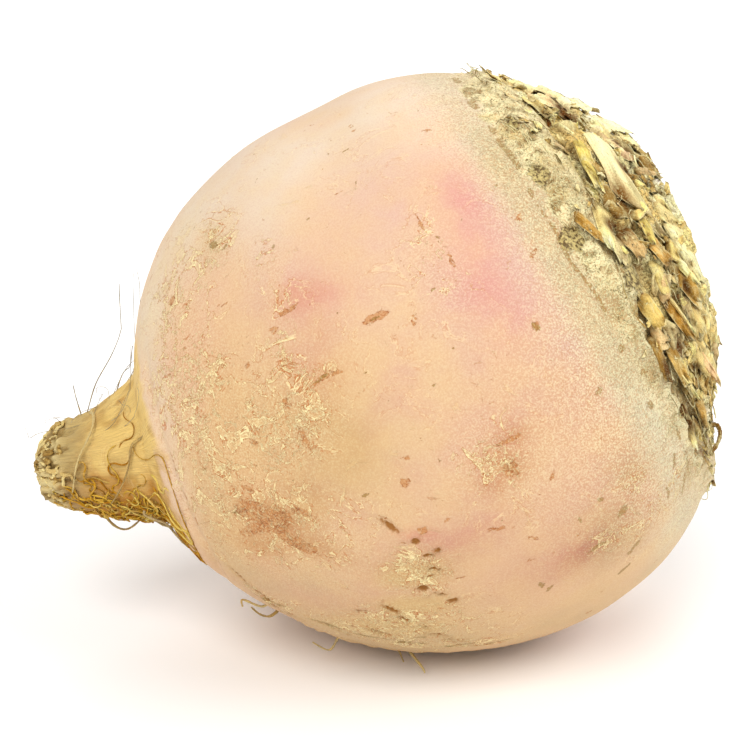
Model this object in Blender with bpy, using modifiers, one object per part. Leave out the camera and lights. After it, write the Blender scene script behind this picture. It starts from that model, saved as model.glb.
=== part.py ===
"""A trimmed turnip lying on its side.

The root is one grown solid: round body, tail with its cut end, and rootlets. The head of dry, torn
leaf bases on its crown is the second solid. Metres, +Z up. The origin is on the flat spot that the
root rests on, and +X runs from the tail towards the crown.
"""

import math
import random

import bmesh
import bpy
import numpy as np
from mathutils import Matrix, Vector

# Driving dimensions of the root, in metres. "Along" is counted on the centre line from the tail's end.
BODY_RADIUS = 0.0608
WIDEST_ALONG = 0.0939
TAIL_SIDE_LENGTH = 0.0704  # the body is half an ellipsoid on each side of its widest section
CROWN_SIDE_LENGTH = 0.0491
TAIL_END_RADIUS = 0.0064
TAIL_TAPER = 0.35  # growth of the tail's radius for each metre along
TAIL_ROUNDING = 0.006
CREASE_RADIUS = 0.002  # softness of the crease where the tail meets the body
NECK_ALONG = 0.1236
COLLAR_LENGTH = 0.0034  # bare skin between the neck and the leaf bases
DOME_HEIGHT = 0.006  # the crown's own dome, under the leaf bases

# The head of leaf bases on the crown
HEAD_HEIGHT = 0.0184
HEAD_TOP_RADIUS = 0.0218
HEAD_LEAN = 0.0046  # how far the head's top lies below the neck's axis
HEAD_TOP_TILT = math.radians(9)
HEAD_EDGE = 0.0012  # thickness of the head's rim
LEAF_BED = 0.0008  # the core lies this far under the leaf bases' mean surface
TRIM_ALLOWANCE = 0.0012  # what the knife takes off the core's top
JOIN_GAP = 0.0003

# The centre line: its slope above the horizontal, and how far the tail swings towards +Y
TAIL_SLOPE = math.radians(4.7)
BODY_SLOPE = math.radians(14.5)
CROWN_SLOPE = math.radians(29.3)
TAIL_SWING = math.radians(12)
TAIL_BEND = (0.006, 0.032)  # the tail's slope turns into the body's between these places
BODY_BEND = (0.034, 0.120)
SWING_LENGTH = 0.050

# Where the widest section's middle lies over the flat spot. The lowest 2 mm of the belly are flattened.
WIDEST_CENTRE = (0.0052, 0.0, 0.0631)

# Uneven growth: place along, angle round, extra radius. Angle 0 is up, 90 is +Y and 180 is down.
SWELLINGS = (
    (0.038, 0, 0.0037),
    (0.038, 180, -0.0022),
    (0.060, 180, 0.0013),
    (0.086, 0, -0.0034),
    (0.086, 180, 0.0028),
    (0.112, 0, -0.0024),
    (0.112, 180, 0.0010),
    (0.070, 95, 0.0016),
    (0.100, 60, -0.0012),
)
SWELLING_LENGTH = 0.018
SWELLING_ANGLE = 0.9

KNIFE_SIZE = 0.3
RINGS = 40
SIDES = 52
SEED = 11

ROOT_COLOUR = (0.87, 0.66, 0.47, 1.0)
LEAF_BASE_COLOUR = (0.50, 0.38, 0.17, 1.0)


def smooth(share):
    """0 before 0, 1 after 1, and an even S curve between them."""
    share = np.clip(share, 0, 1)
    return share * share * (3 - 2 * share)


def larger(a, b, softness):
    """The larger of two values, with the change between them rounded."""
    return (a + b + np.sqrt((a - b) ** 2 + softness**2)) / 2


def slope(along):
    """Slope of the centre line above the horizontal."""
    tail_turn = smooth((along - TAIL_BEND[0]) / (TAIL_BEND[1] - TAIL_BEND[0]))
    body_turn = smooth((along - BODY_BEND[0]) / (BODY_BEND[1] - BODY_BEND[0]))
    return TAIL_SLOPE + (BODY_SLOPE - TAIL_SLOPE) * tail_turn + (CROWN_SLOPE - BODY_SLOPE) * body_turn


def heading(along):
    """Direction of the centre line, one row for each place along."""
    rise = slope(along)
    swing = TAIL_SWING * (1 - smooth(along / SWING_LENGTH))
    return np.stack([np.cos(rise) * np.cos(swing), -np.cos(rise) * np.sin(swing), np.sin(rise)], axis=-1)


LINE_ALONG = np.linspace(0, NECK_ALONG, 500)
LINE_POINTS = np.cumsum(heading(LINE_ALONG) * (LINE_ALONG[1] - LINE_ALONG[0]), axis=0)
LINE_POINTS += np.array(WIDEST_CENTRE) - LINE_POINTS[np.argmin(abs(LINE_ALONG - WIDEST_ALONG))]


def place(along, radius, angle):
    """Points at a radius and an angle round the centre line. Past the neck the head leans and tilts."""
    along, radius, angle = np.broadcast_arrays(along, radius, angle)
    on_line = np.clip(along, 0, NECK_ALONG)
    past_neck = np.maximum(along - NECK_ALONG, 0)[..., None]
    forward = heading(on_line)
    side = np.cross(np.cross(forward, [0, 1, 0]), forward)
    side /= np.linalg.norm(side, axis=-1, keepdims=True)
    up = np.cross(forward, side)
    middle = np.stack([np.interp(on_line, LINE_ALONG, LINE_POINTS[:, k]) for k in range(3)], axis=-1)
    middle = middle + forward * past_neck - up * HEAD_LEAN * past_neck / HEAD_HEIGHT
    tilt = HEAD_TOP_TILT * past_neck / HEAD_HEIGHT
    up = up * np.cos(tilt) + forward * np.sin(tilt)
    return middle + radius[..., None] * (np.cos(angle)[..., None] * up + np.sin(angle)[..., None] * side)


def root_radius(along):
    """Radius of the straight root: a tapering tail that runs into an ellipsoid."""
    length = np.where(along < WIDEST_ALONG, TAIL_SIDE_LENGTH, CROWN_SIDE_LENGTH)
    body = BODY_RADIUS * np.sqrt(np.clip(1 - ((along - WIDEST_ALONG) / length) ** 2, 0, 1))
    end = np.sqrt(1 - np.clip(1 - along / TAIL_ROUNDING, 0, 1) ** 2)
    tail = (TAIL_END_RADIUS + TAIL_TAPER * along) * end
    return np.where(body > 0, larger(body, tail, CREASE_RADIUS), tail)


def swelling(along, angle):
    """Extra radius where the root has grown unevenly."""
    extra = 0
    for at, degrees, height in SWELLINGS:
        turn = (angle - math.radians(degrees) + math.pi) % (2 * math.pi) - math.pi
        extra = extra + height * np.exp(-(((along - at) / SWELLING_LENGTH) ** 2) - (turn / SWELLING_ANGLE) ** 2)
    return extra


def grown(along, radius, angle):
    """Points of the turned shape after its uneven growth and its bend."""
    along, radius, angle = np.broadcast_arrays(along, radius, angle)
    return place(along, radius + swelling(along, angle) * smooth(radius / 0.01), angle)


NECK_RADIUS = float(root_radius(np.array(NECK_ALONG)))


def head_radius(past_neck):
    """Radius of the crown past the neck, a cone that rounds in towards the cut top."""
    share = np.clip(np.asarray(past_neck) / HEAD_HEIGHT, 0, 1)
    return HEAD_TOP_RADIUS + (NECK_RADIUS - HEAD_TOP_RADIUS) * (1 - share) ** 0.95


COLLAR_RADIUS = float(head_radius(COLLAR_LENGTH))


def dome_height(radius):
    """Height of the crown's own dome over the neck."""
    return COLLAR_LENGTH + DOME_HEIGHT * (1 - np.minimum(radius / COLLAR_RADIUS, 1) ** 2)


def material(name, colour, roughness):
    made = bpy.data.materials.new(name)
    made.use_nodes = True
    shader = made.node_tree.nodes["Principled BSDF"]
    shader.inputs["Base Color"].default_value = colour
    shader.inputs["Roughness"].default_value = roughness
    shader.inputs["Metallic"].default_value = 0.0
    return made


def add_object(name, mesh, collection):
    made = bpy.data.objects.new(name, mesh)
    collection.objects.link(made)
    return made


def read_mesh(source, weld=0.00001):
    """The evaluated mesh of an object in triangles, with loose caps welded."""
    bpy.context.view_layer.update()
    mesh = bpy.data.meshes.new_from_object(source.evaluated_get(bpy.context.evaluated_depsgraph_get()))
    work = bmesh.new()
    work.from_mesh(mesh)
    bmesh.ops.remove_doubles(work, verts=work.verts, dist=weld)
    bmesh.ops.recalc_face_normals(work, faces=work.faces)
    bmesh.ops.triangulate(work, faces=work.faces)
    work.to_mesh(mesh)
    work.free()
    return mesh


def turned(name, outline, collection):
    """A solid turned about Z from an outline of (radius, height) points, its top end first."""
    mesh = bpy.data.meshes.new(name)
    mesh.from_pydata([(r, 0, z) for r, z in outline], [(k, k + 1) for k in range(len(outline) - 1)], [])
    made = add_object(name, mesh, collection)
    screw = made.modifiers.new("Screw", "SCREW")
    screw.steps = SIDES
    screw.render_steps = SIDES
    screw.use_merge_vertices = True
    screw.merge_threshold = 0.00001
    made.data = read_mesh(made)
    made.modifiers.clear()
    return made


def grow(made):
    """Moves a straight turned mesh onto the bent centre line."""
    flat = np.empty(len(made.data.vertices) * 3, np.float32)
    made.data.vertices.foreach_get("co", flat)
    x, y, along = flat.reshape(-1, 3).T.astype(float)
    moved = grown(along, np.hypot(x, y), np.arctan2(y, x))
    made.data.vertices.foreach_set("co", moved.astype(np.float32).ravel())
    made.data.update()


def keep_outside(mesh):
    """Keeps the largest shell alone, so that sealed hollows are filled and loose scraps are dropped."""
    work = bmesh.new()
    work.from_mesh(mesh)
    left = set(work.faces)
    shells = []
    while left:
        shell, edge = set(), {left.pop()}
        while edge:
            shell |= edge
            edge = {near for face in edge for side in face.edges for near in side.link_faces} - shell
        left -= shell
        shells.append(shell)
    largest = max(shells, key=len)
    bmesh.ops.delete(work, geom=[f for f in work.faces if f not in largest], context="FACES")
    work.to_mesh(mesh)
    work.free()


def union(target, pieces):
    """Joins a collection of closed pieces to the target with one Boolean, then removes them."""
    joined = target.modifiers.new("Union", "BOOLEAN")
    joined.operation = "UNION"
    joined.solver = "EXACT"
    joined.operand_type = "COLLECTION"
    joined.collection = pieces
    target.data = read_mesh(target, 0.000002)
    target.modifiers.clear()
    keep_outside(target.data)
    for piece in list(pieces.objects):
        bpy.data.objects.remove(piece)
    bpy.data.collections.remove(pieces)


def cut_level(made, point, outward, cutters):
    """Takes off what lies past a plane with the face of a large block."""
    turn = Vector(outward).to_track_quat("Z", "Y").to_matrix().to_4x4()
    mesh = bpy.data.meshes.new("knife")
    work = bmesh.new()
    over = Matrix.Translation((0, 0, KNIFE_SIZE / 2))
    bmesh.ops.create_cube(work, size=KNIFE_SIZE, matrix=Matrix.Translation(point) @ turn @ over)
    work.to_mesh(mesh)
    work.free()
    knife = add_object("knife", mesh, cutters)
    knife.hide_render = True
    knife.display_type = "WIRE"
    cut = made.modifiers.new("Knife", "BOOLEAN")
    cut.operation = "DIFFERENCE"
    cut.solver = "EXACT"
    cut.object = knife
    made.data = read_mesh(made, 0.000002)
    made.modifiers.clear()
    keep_outside(made.data)
    bpy.data.objects.remove(knife)


def rootlet(route, collection):
    """A tapering tube through the points of a route."""
    curve = bpy.data.curves.new("rootlet", "CURVE")
    curve.dimensions = "3D"
    curve.bevel_depth = ROOTLET_THICKNESS / 2
    curve.bevel_resolution = 0
    curve.use_fill_caps = True
    spline = curve.splines.new("POLY")
    spline.points.add(len(route) - 1)
    for k, point in enumerate(route):
        spline.points[k].co = (*point, 1.0)
        spline.points[k].radius = 1.0 - 0.45 * k / (len(route) - 1)
    tube = add_object("rootlet_curve", curve, collection)
    mesh = read_mesh(tube)
    bpy.data.objects.remove(tube)
    return add_object("rootlet", mesh, collection)


# Rootlets: the places (along, angle, height over the skin) that each one passes, sunk in the skin at its start
ROOTLET_THICKNESS = 0.0008
ROOTLET_STEPS = 3  # points between two places
ROOTLETS = (
    ((0.0508, 210, -0.0015), (0.0494, 209, 0.0012), (0.0476, 208, 0.0040), (0.0453, 210, 0.0036)),
    ((0.0400, 211, -0.0015), (0.0381, 210, 0.0010), (0.0352, 212, 0.0022), (0.0350, 215, 0.0040)),
    ((0.0416, 211, -0.0015), (0.0395, 214, 0.0020), (0.0377, 213, 0.0031), (0.0366, 216, 0.0027)),
    ((0.0594, 204, -0.0015), (0.0596, 208, 0.0024)),
    ((0.0606, 204, -0.0015), (0.0622, 208, 0.0030), (0.0624, 208, 0.0045)),
    ((0.0112, 373, -0.0015), (0.0150, 370, 0.0042), (0.0215, 366, 0.0074), (0.0290, 357, 0.0112)),
    ((0.0188, 368, -0.0015), (0.0235, 358, 0.0024), (0.0280, 351, 0.0012)),
    ((0.0106, 374, -0.0015), (0.0098, 371, 0.0035), (0.0094, 371, 0.0066)),
    ((0.0126, 208, -0.0012), (0.0150, 207, 0.0021), (0.0176, 206, 0.0025), (0.0212, 208, -0.0010)),
    ((0.0212, 206, -0.0012), (0.0250, 222, 0.0017), (0.0286, 229, 0.0010)),
    ((0.0120, 370, -0.0012), (0.0154, 329, 0.0010), (0.0116, 294, 0.0012), (0.0093, 257, 0.0007)),
    ((0.0271, 303, -0.0014), (0.0237, 299, 0.0008), (0.0217, 281, 0.0010), (0.0168, 250, 0.0011)),
    ((0.0240, 246, -0.0012), (0.0222, 238, 0.0012), (0.0262, 228, 0.0018), (0.0244, 214, 0.0010)),
)
FAR_ROOTLETS = 9  # the rule that places those on the tail's far side draws each one's place and run


def route_point(along, degrees, height):
    """A point over the skin, or in it, that never sinks into what the root rests on."""
    point = grown(along, root_radius(np.array(along)) + height, math.radians(degrees))
    return float(point[0]), float(point[1]), max(float(point[2]), ROOTLET_THICKNESS)


def rootlet_route(places):
    """A smooth route past the places, by Catmull and Rom's cubic."""
    knots = [places[0], *places, places[-1]]
    points = []
    for k in range(len(places) - 1):
        p0, p1, p2, p3 = (np.array(knot) for knot in knots[k : k + 4])
        for step in range(ROOTLET_STEPS):
            t = step / ROOTLET_STEPS
            bend = (2 * p0 - 5 * p1 + 4 * p2 - p3) * t**2 + (3 * p1 - p0 - 3 * p2 + p3) * t**3
            points.append(route_point(*(p1 + ((p2 - p0) * t + bend) / 2)))
    points.append(route_point(*places[-1]))
    return points


def far_rootlets(chance):
    """Seeded places for the rootlets on the tail's far side and on the belly beside it."""
    for number in range(FAR_ROOTLETS):
        along = 0.010 + 0.046 * number / FAR_ROOTLETS
        degrees = 40 + 61.8 * number % 150
        run = chance.uniform(0.004, 0.009) * chance.choice((-1, 1))
        turn = chance.uniform(8, 26)
        height = chance.uniform(0.0012, 0.0034)
        yield (
            (along, degrees, -0.0015),
            (along + run * 0.4, degrees + turn * 0.5, height * 0.6),
            (along + run, degrees + turn, height),
        )


def make_root(parts, cutters):
    """The body and tail as one turned and bent solid, with its rootlets joined to it."""
    share = np.linspace(0, 1, RINGS)
    stations = NECK_ALONG * (0.42 * share + 0.58 * share**1.7)
    outline = [(float(root_radius(s)), float(s)) for s in stations]
    for radius in COLLAR_RADIUS * np.linspace(1, 0, 6):
        outline.append((float(radius), NECK_ALONG + float(dome_height(radius))))
    root = turned("root", outline[::-1], parts)
    grow(root)
    pieces = bpy.data.collections.new("rootlets")
    bpy.context.scene.collection.children.link(pieces)
    chance = random.Random(SEED)
    for places in (*ROOTLETS, *far_rootlets(chance)):
        rootlet(rootlet_route(places), pieces)
    union(root, pieces)
    cut_level(root, (0, 0, 0), (0, 0, -1), cutters)
    root.data.materials.append(material("root_skin", ROOT_COLOUR, 0.55))
    return root


# Leaf bases: a spiral from the head's rim to its top, each one lapping those above it
LEAF_COUNT = 60
LEAF_TURN = math.radians(137.5)
LEAF_WIDTH = 0.0080
LEAF_LENGTH = 0.0130
LEAF_THICKNESS = 0.0013
LEAF_SINK = 0.0014
LEAF_ARCH = 0.0016  # a leaf base's middle stands this far over its sides
LEAF_CELLS = (3, 3)


def leaf_base(number, chance, collection):
    """One torn leaf base: a channelled strap that leaves the core and follows it towards the top."""
    lowest = COLLAR_LENGTH + 1.5 * LEAF_THICKNESS
    start = lowest + (HEAD_HEIGHT - lowest) * 0.85 * ((number + 0.5) / LEAF_COUNT) ** 1.2
    angle = number * LEAF_TURN + chance.uniform(-0.12, 0.12)
    half_width = LEAF_WIDTH * chance.uniform(0.7, 1.3) / 2
    length = LEAF_LENGTH * chance.uniform(0.7, 1.35)
    rise = chance.uniform(0.0006, 0.0017)
    lift = chance.uniform(0.0, 0.0016)
    skew = chance.uniform(-0.35, 0.35)
    jag = chance.uniform(0.0, 6.0)
    lean = math.atan2(NECK_RADIUS - HEAD_TOP_RADIUS, HEAD_HEIGHT)
    work = bmesh.new()
    bmesh.ops.create_grid(work, x_segments=LEAF_CELLS[0], y_segments=LEAF_CELLS[1], size=1.0)
    for vertex in work.verts:
        across, share = vertex.co.x, (vertex.co.y + 1) / 2
        reach = length * share * (1 - 0.25 * share * abs(math.sin(2.6 * across + jag)))
        past = start + reach * math.cos(lean)
        height = (rise + LEAF_SINK) * float(smooth(share / 0.34)) - LEAF_SINK
        height += lift * share**2 - LEAF_ARCH * across**2
        radius = float(head_radius(past)) + height
        turn = (across * half_width * (1 - 0.3 * share**2) + skew * reach) / radius
        vertex.co = grown(NECK_ALONG + past, radius, angle + turn)
    bmesh.ops.triangulate(work, faces=work.faces)
    mesh = bpy.data.meshes.new("leaf_base")
    work.to_mesh(mesh)
    work.free()
    made = add_object("leaf_base_sheet", mesh, collection)
    wall = made.modifiers.new("Solidify", "SOLIDIFY")
    wall.thickness = LEAF_THICKNESS * chance.uniform(0.9, 1.3)
    wall.offset = 0
    made.data = read_mesh(made)
    made.modifiers.clear()


def make_leaf_bases(parts, cutters):
    """The head: a core over the crown's dome with the leaf bases joined to it, all cut level by a knife."""
    outline = []
    for radius in COLLAR_RADIUS * np.linspace(0, 1, 6):
        outline.append((float(radius), NECK_ALONG + float(dome_height(radius)) + JOIN_GAP))
    for past in np.linspace(COLLAR_LENGTH + JOIN_GAP + HEAD_EDGE, HEAD_HEIGHT + TRIM_ALLOWANCE, 7):
        outline.append((float(head_radius(past)) - LEAF_BED, NECK_ALONG + float(past)))
    outline.append((0.0, NECK_ALONG + HEAD_HEIGHT + 1.5 * TRIM_ALLOWANCE))
    head = turned("leaf_bases", outline[::-1], parts)
    grow(head)
    pieces = bpy.data.collections.new("leaf_base_pieces")
    bpy.context.scene.collection.children.link(pieces)
    chance = random.Random(SEED)
    for number in range(LEAF_COUNT):
        leaf_base(number, chance, pieces)
    union(head, pieces)
    top = NECK_ALONG + HEAD_HEIGHT
    middle = place(top, 0.0, 0.0)
    up = place(top, 1.0, 0.0) - middle
    side = place(top, 1.0, math.pi / 2) - middle
    cut_level(head, middle, np.cross(side, up), cutters)
    head.data.materials.append(material("leaf_base_fibre", LEAF_BASE_COLOUR, 0.85))
    return head


def main():
    for old in list(bpy.data.objects):
        bpy.data.objects.remove(old)
    parts = bpy.data.collections.new("turnip")
    cutters = bpy.data.collections.new("cutters")
    bpy.context.scene.collection.children.link(parts)
    bpy.context.scene.collection.children.link(cutters)
    for made in (make_root(parts, cutters), make_leaf_bases(parts, cutters)):
        made.data.shade_smooth()
        made.data.set_sharp_from_angle(angle=math.radians(40))


main()
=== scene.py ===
import math

import bpy
import numpy as np
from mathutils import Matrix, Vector


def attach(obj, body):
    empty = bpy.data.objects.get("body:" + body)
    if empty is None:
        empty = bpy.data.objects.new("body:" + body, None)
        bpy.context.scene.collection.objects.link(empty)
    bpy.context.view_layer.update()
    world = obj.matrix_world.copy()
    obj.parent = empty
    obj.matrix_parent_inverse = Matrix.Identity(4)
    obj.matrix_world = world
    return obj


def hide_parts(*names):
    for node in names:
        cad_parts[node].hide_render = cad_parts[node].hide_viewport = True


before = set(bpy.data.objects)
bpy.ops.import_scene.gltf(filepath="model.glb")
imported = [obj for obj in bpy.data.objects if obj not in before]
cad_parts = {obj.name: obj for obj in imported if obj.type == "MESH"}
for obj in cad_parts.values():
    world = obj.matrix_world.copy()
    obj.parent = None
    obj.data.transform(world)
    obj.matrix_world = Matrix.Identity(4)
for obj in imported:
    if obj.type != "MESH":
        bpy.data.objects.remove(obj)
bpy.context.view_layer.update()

print("frame loaded")

# Lengths are in millimetres up to makePiece, which puts them in metres.
# "Along" is counted on the root's centre line from the tail's end. Angle 0 is up and 90 degrees is +Y.
rootShape = dict(
    bodyRadius=60.8, widestAlong=93.9, tailSide=70.4, crownSide=49.1,
    tailEnd=6.4, tailTaper=0.35, tailRounding=6.0, crease=1.3,
    neckAlong=123.6, collar=3.4, domeHeight=6.0,
    slopes=(4.7, 14.5, 29.3), tailBend=(6.0, 32.0), bodyBend=(34.0, 120.0),
    swing=12.0, swingLength=50.0,
    swellings=(
        (38, 0, 3.7), (38, 180, -2.2), (60, 180, 1.3), (86, 0, -3.4), (86, 180, 2.8),
        (112, 0, -2.4), (112, 180, 1.0), (70, 95, 1.6), (100, 60, -1.2),
    ),
    swellingLength=18.0, swellingAngle=0.9,
)
headShape = dict(height=18.4, topRadius=21.8, lean=4.6, topTilt=9.0, round=0.95, meanRadius=28)
widestCentre = np.array([5.2, 0.0, 63.1])
paintShare = 0.74  # the studio's light is a quarter stronger than full, so that the floor is near white


def paint(red, green, blue):
    # display colour of 0 to 255 to the linear light that shaders use
    share = np.array([red, green, blue]) / 255
    return paintShare * np.where(share <= 0.04045, share / 12.92, ((share + 0.055) / 1.055) ** 2.4)


def smoothStep(share):
    # 3 times the square less 2 times the cube, between 0 and 1
    share = np.clip(share, 0, 1)
    return share * share * (3 - 2 * share)


def larger(a, b, softness):
    # the larger of two values, with a rounded change: their mean, plus half the root of the sum of the
    # squares of their difference and the softness
    return (a + b + np.sqrt((a - b) ** 2 + softness**2)) / 2


def slopeAt(along):
    # how steeply the line rises: the tail's slope, changed smoothly to the body's and then the crown's
    tail, body, crown = rootShape["slopes"]
    (t0, t1), (b0, b1) = rootShape["tailBend"], rootShape["bodyBend"]
    turned = tail + (body - tail) * smoothStep((along - t0) / (t1 - t0))
    return np.radians(turned + (crown - body) * smoothStep((along - b0) / (b1 - b0)))


def headingAt(along):
    # the line's direction: its slope upwards, and at the tail a swing to the front
    rise = slopeAt(along)
    swing = np.radians(rootShape["swing"]) * (1 - smoothStep(along / rootShape["swingLength"]))
    return np.stack([np.cos(rise) * np.cos(swing), -np.cos(rise) * np.sin(swing), np.sin(rise)], axis=-1)


lineAlong = np.linspace(0, rootShape["neckAlong"], 500)
linePoints = np.cumsum(headingAt(lineAlong) * (lineAlong[1] - lineAlong[0]), axis=0)
linePoints += widestCentre - linePoints[np.argmin(abs(lineAlong - rootShape["widestAlong"]))]


def place(along, radius, angle):
    # the bent centre line's point, plus the radius turned by the angle in the plane square to the line.
    # past the neck the plane leans down and tilts
    along, radius, angle = np.broadcast_arrays(along, radius, angle)
    onLine = np.clip(along, 0, rootShape["neckAlong"])
    past = np.maximum(along - rootShape["neckAlong"], 0)[..., None] / headShape["height"]
    forward = headingAt(onLine)
    side = np.cross(np.cross(forward, [0, 1, 0]), forward)
    side /= np.linalg.norm(side, axis=-1, keepdims=True)
    up = np.cross(forward, side)
    middle = np.stack([np.interp(onLine, lineAlong, linePoints[:, k]) for k in range(3)], axis=-1)
    middle = middle + (forward * headShape["height"] - up * headShape["lean"]) * past
    tilt = math.radians(headShape["topTilt"]) * past
    up = up * np.cos(tilt) + forward * np.sin(tilt)
    return middle + radius[..., None] * (np.cos(angle)[..., None] * up + np.sin(angle)[..., None] * side)


def rootRadius(along):
    # a tapering tail that runs into a body made of two half ellipsoids
    s = rootShape
    length = np.where(along < s["widestAlong"], s["tailSide"], s["crownSide"])
    body = s["bodyRadius"] * np.sqrt(np.clip(1 - ((along - s["widestAlong"]) / length) ** 2, 0, 1))
    end = np.sqrt(1 - np.clip(1 - along / s["tailRounding"], 0, 1) ** 2)
    tail = (s["tailEnd"] + s["tailTaper"] * along) * end
    return np.where(body > 0, larger(body, tail, s["crease"]), tail)


neckRadius = float(rootRadius(np.array(rootShape["neckAlong"])))


def headRadius(past):
    # a cone from the neck to the cut top, slightly rounded
    share = np.clip(np.asarray(past) / headShape["height"], 0, 1)
    return headShape["topRadius"] + (neckRadius - headShape["topRadius"]) * (1 - share) ** headShape["round"]


def skinRadius(along):
    # the root's radius up to the neck, and the head's past it
    neck = rootShape["neckAlong"]
    return np.where(along <= neck, rootRadius(np.minimum(along, neck)), headRadius(along - neck))


def wrapped(angle):
    # the same angle between minus and plus half a turn
    return (angle + np.pi) % (2 * np.pi) - np.pi


def swelling(along, angle):
    # uneven growth: a sum of soft bumps over place and angle
    extra = 0
    for at, degrees, height in rootShape["swellings"]:
        turn = wrapped(angle - math.radians(degrees)) / rootShape["swellingAngle"]
        extra = extra + height * np.exp(-(((along - at) / rootShape["swellingLength"]) ** 2) - turn**2)
    return extra


def grown(along, radius, angle):
    # a place with the swelling added to its radius, fading out to the centre line
    along, radius, angle = np.broadcast_arrays(along, radius, angle)
    return place(along, radius + swelling(along, angle) * smoothStep(radius / 10), angle)


def valueNoise(points, cell, seed):
    # random numbers on a lattice, blended smoothly between the eight corners round each point: 0 to 1
    lattice = np.random.default_rng(seed).random((32, 32, 32))
    scaled = points / cell
    corner = np.floor(scaled).astype(int)
    share = smoothStep(scaled - corner)
    total = 0
    for step in range(8):
        offset = (step & 1, step >> 1 & 1, step >> 2 & 1)
        weight = 1
        for axis in range(3):
            weight = weight * (share[..., axis] if offset[axis] else 1 - share[..., axis])
        x, y, z = ((corner[..., axis] + offset[axis]) % 32 for axis in range(3))
        total = total + weight * lattice[x, y, z]
    return total


def layeredNoise(points, cell, layers, seed):
    # layers of value noise, each half as large and half as strong: about -1 to 1
    total = 0
    for layer in range(layers):
        total = total + (valueNoise(points, cell / 2**layer, seed + layer) - 0.5) * 2 / 2**layer
    return total


def normalsOf(grid):
    # row direction crossed with column direction, on a grid that is closed round its columns
    rows = np.gradient(grid, axis=0)
    columns = np.roll(grid, -1, axis=1) - np.roll(grid, 1, axis=1)
    normal = np.cross(rows, columns)
    return normal / np.maximum(np.linalg.norm(normal, axis=-1, keepdims=True), 1e-9)


def gridPart(grid, uv, colours):
    # a closed surface from a grid of rows by columns.
    # columns wrap, and the first and last rows close to a point
    rows, columns = grid.shape[:2]
    inner = grid[1:-1].reshape(-1, 3)
    points = np.concatenate([grid[:1].mean(axis=1), inner, grid[-1:].mean(axis=1)])
    index = np.zeros((rows, columns + 1), int)
    index[1:-1, :-1] = 1 + np.arange(len(inner)).reshape(rows - 2, columns)
    index[-1] = len(inner) + 1
    index[1:-1, -1] = index[1:-1, 0]
    corner = [index[:-1, :-1], index[1:, :-1], index[1:, 1:], index[:-1, 1:]]
    cornerUv = [uv[:-1, :-1], uv[1:, :-1], uv[1:, 1:], uv[:-1, 1:]]
    quads = np.stack([c[1:-1] for c in corner], axis=-1).reshape(-1, 4)
    quadUv = np.stack([c[1:-1] for c in cornerUv], axis=-2).reshape(-1, 4, 2)
    first = np.stack([corner[0][0], corner[1][0], corner[2][0]], axis=-1)
    firstUv = np.stack([cornerUv[0][0], cornerUv[1][0], cornerUv[2][0]], axis=-2)
    last = np.stack([corner[0][-1], corner[1][-1], corner[3][-1]], axis=-1)
    lastUv = np.stack([cornerUv[0][-1], cornerUv[1][-1], cornerUv[3][-1]], axis=-2)
    tris = np.concatenate([first, last])
    inSpace = points[quads]
    middle = inSpace.mean(axis=1)
    facing = np.cross(inSpace[:, 2] - inSpace[:, 0], inSpace[:, 3] - inSpace[:, 1])
    if (middle * facing).sum() < 0:  # the closed surface's signed volume tells which way the faces look
        quads, quadUv = quads[:, ::-1], quadUv[:, ::-1]
        tris, firstUv, lastUv = tris[:, ::-1], firstUv[:, ::-1], lastUv[:, ::-1]
    named = {}
    for name, values in colours.items():
        flat = values[1:-1].reshape(-1, values.shape[-1])
        named[name] = np.concatenate([values[:1].mean(axis=1), flat, values[-1:].mean(axis=1)])
    triUv = np.concatenate([firstUv, lastUv])
    return dict(points=points, quads=quads, tris=tris, quadUv=quadUv, triUv=triUv, colours=named)


def makePiece(name, parts, material, node):
    # joins the parts in one mesh, writes points, faces, UV map and colour attributes as whole arrays
    starts = np.cumsum([0] + [len(part["points"]) for part in parts])
    points = np.concatenate([part["points"] for part in parts]) / 1000
    quads = np.concatenate([part["quads"] + start for part, start in zip(parts, starts)])
    tris = np.concatenate([part["tris"] + start for part, start in zip(parts, starts)])
    corners = np.concatenate([quads.ravel(), tris.ravel()])
    sizes = np.concatenate([np.full(len(quads), 4), np.full(len(tris), 3)])
    mesh = bpy.data.meshes.new(name)
    mesh.vertices.add(len(points))
    mesh.vertices.foreach_set("co", points.astype(np.float32).ravel())
    mesh.loops.add(len(corners))
    mesh.loops.foreach_set("vertex_index", corners.astype(np.int32))
    mesh.polygons.add(len(sizes))
    mesh.polygons.foreach_set("loop_start", np.concatenate([[0], np.cumsum(sizes)[:-1]]).astype(np.int32))
    mesh.update(calc_edges=True)
    uvs = np.concatenate([part[kind].reshape(-1, 2) for kind in ("quadUv", "triUv") for part in parts])
    mesh.uv_layers.new(name="skinMap").data.foreach_set("uv", uvs.astype(np.float32).ravel())
    for colour in parts[0]["colours"]:
        values = np.concatenate([part["colours"][colour] for part in parts])
        full = np.ones((len(values), 4), np.float32)
        full[:, : values.shape[1]] = values
        mesh.attributes.new(colour, "FLOAT_COLOR", "POINT").data.foreach_set("color", full.ravel())
    mesh.validate()
    mesh.shade_smooth()
    piece = bpy.data.objects.new(name, mesh)
    bpy.context.scene.collection.objects.link(piece)
    piece.data.materials.append(material)
    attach(piece, "root")
    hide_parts(node)
    print(name, len(quads) * 2 + len(tris), "triangles")
    return piece


def addNode(tree, kind, inputs=None, **settings):
    # a node with its settings, whose inputs are linked to sockets or set to values
    made = tree.nodes.new(kind)
    for name, value in settings.items():
        setattr(made, name, value)
    fillSockets(tree, made, inputs or {})
    return made


def fillSockets(tree, node, inputs):
    # a socket is linked, and any other value is set
    for socket, value in inputs.items():
        if isinstance(value, bpy.types.NodeSocket):
            tree.links.new(value, node.inputs[socket])
        else:
            node.inputs[socket].default_value = value


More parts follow.
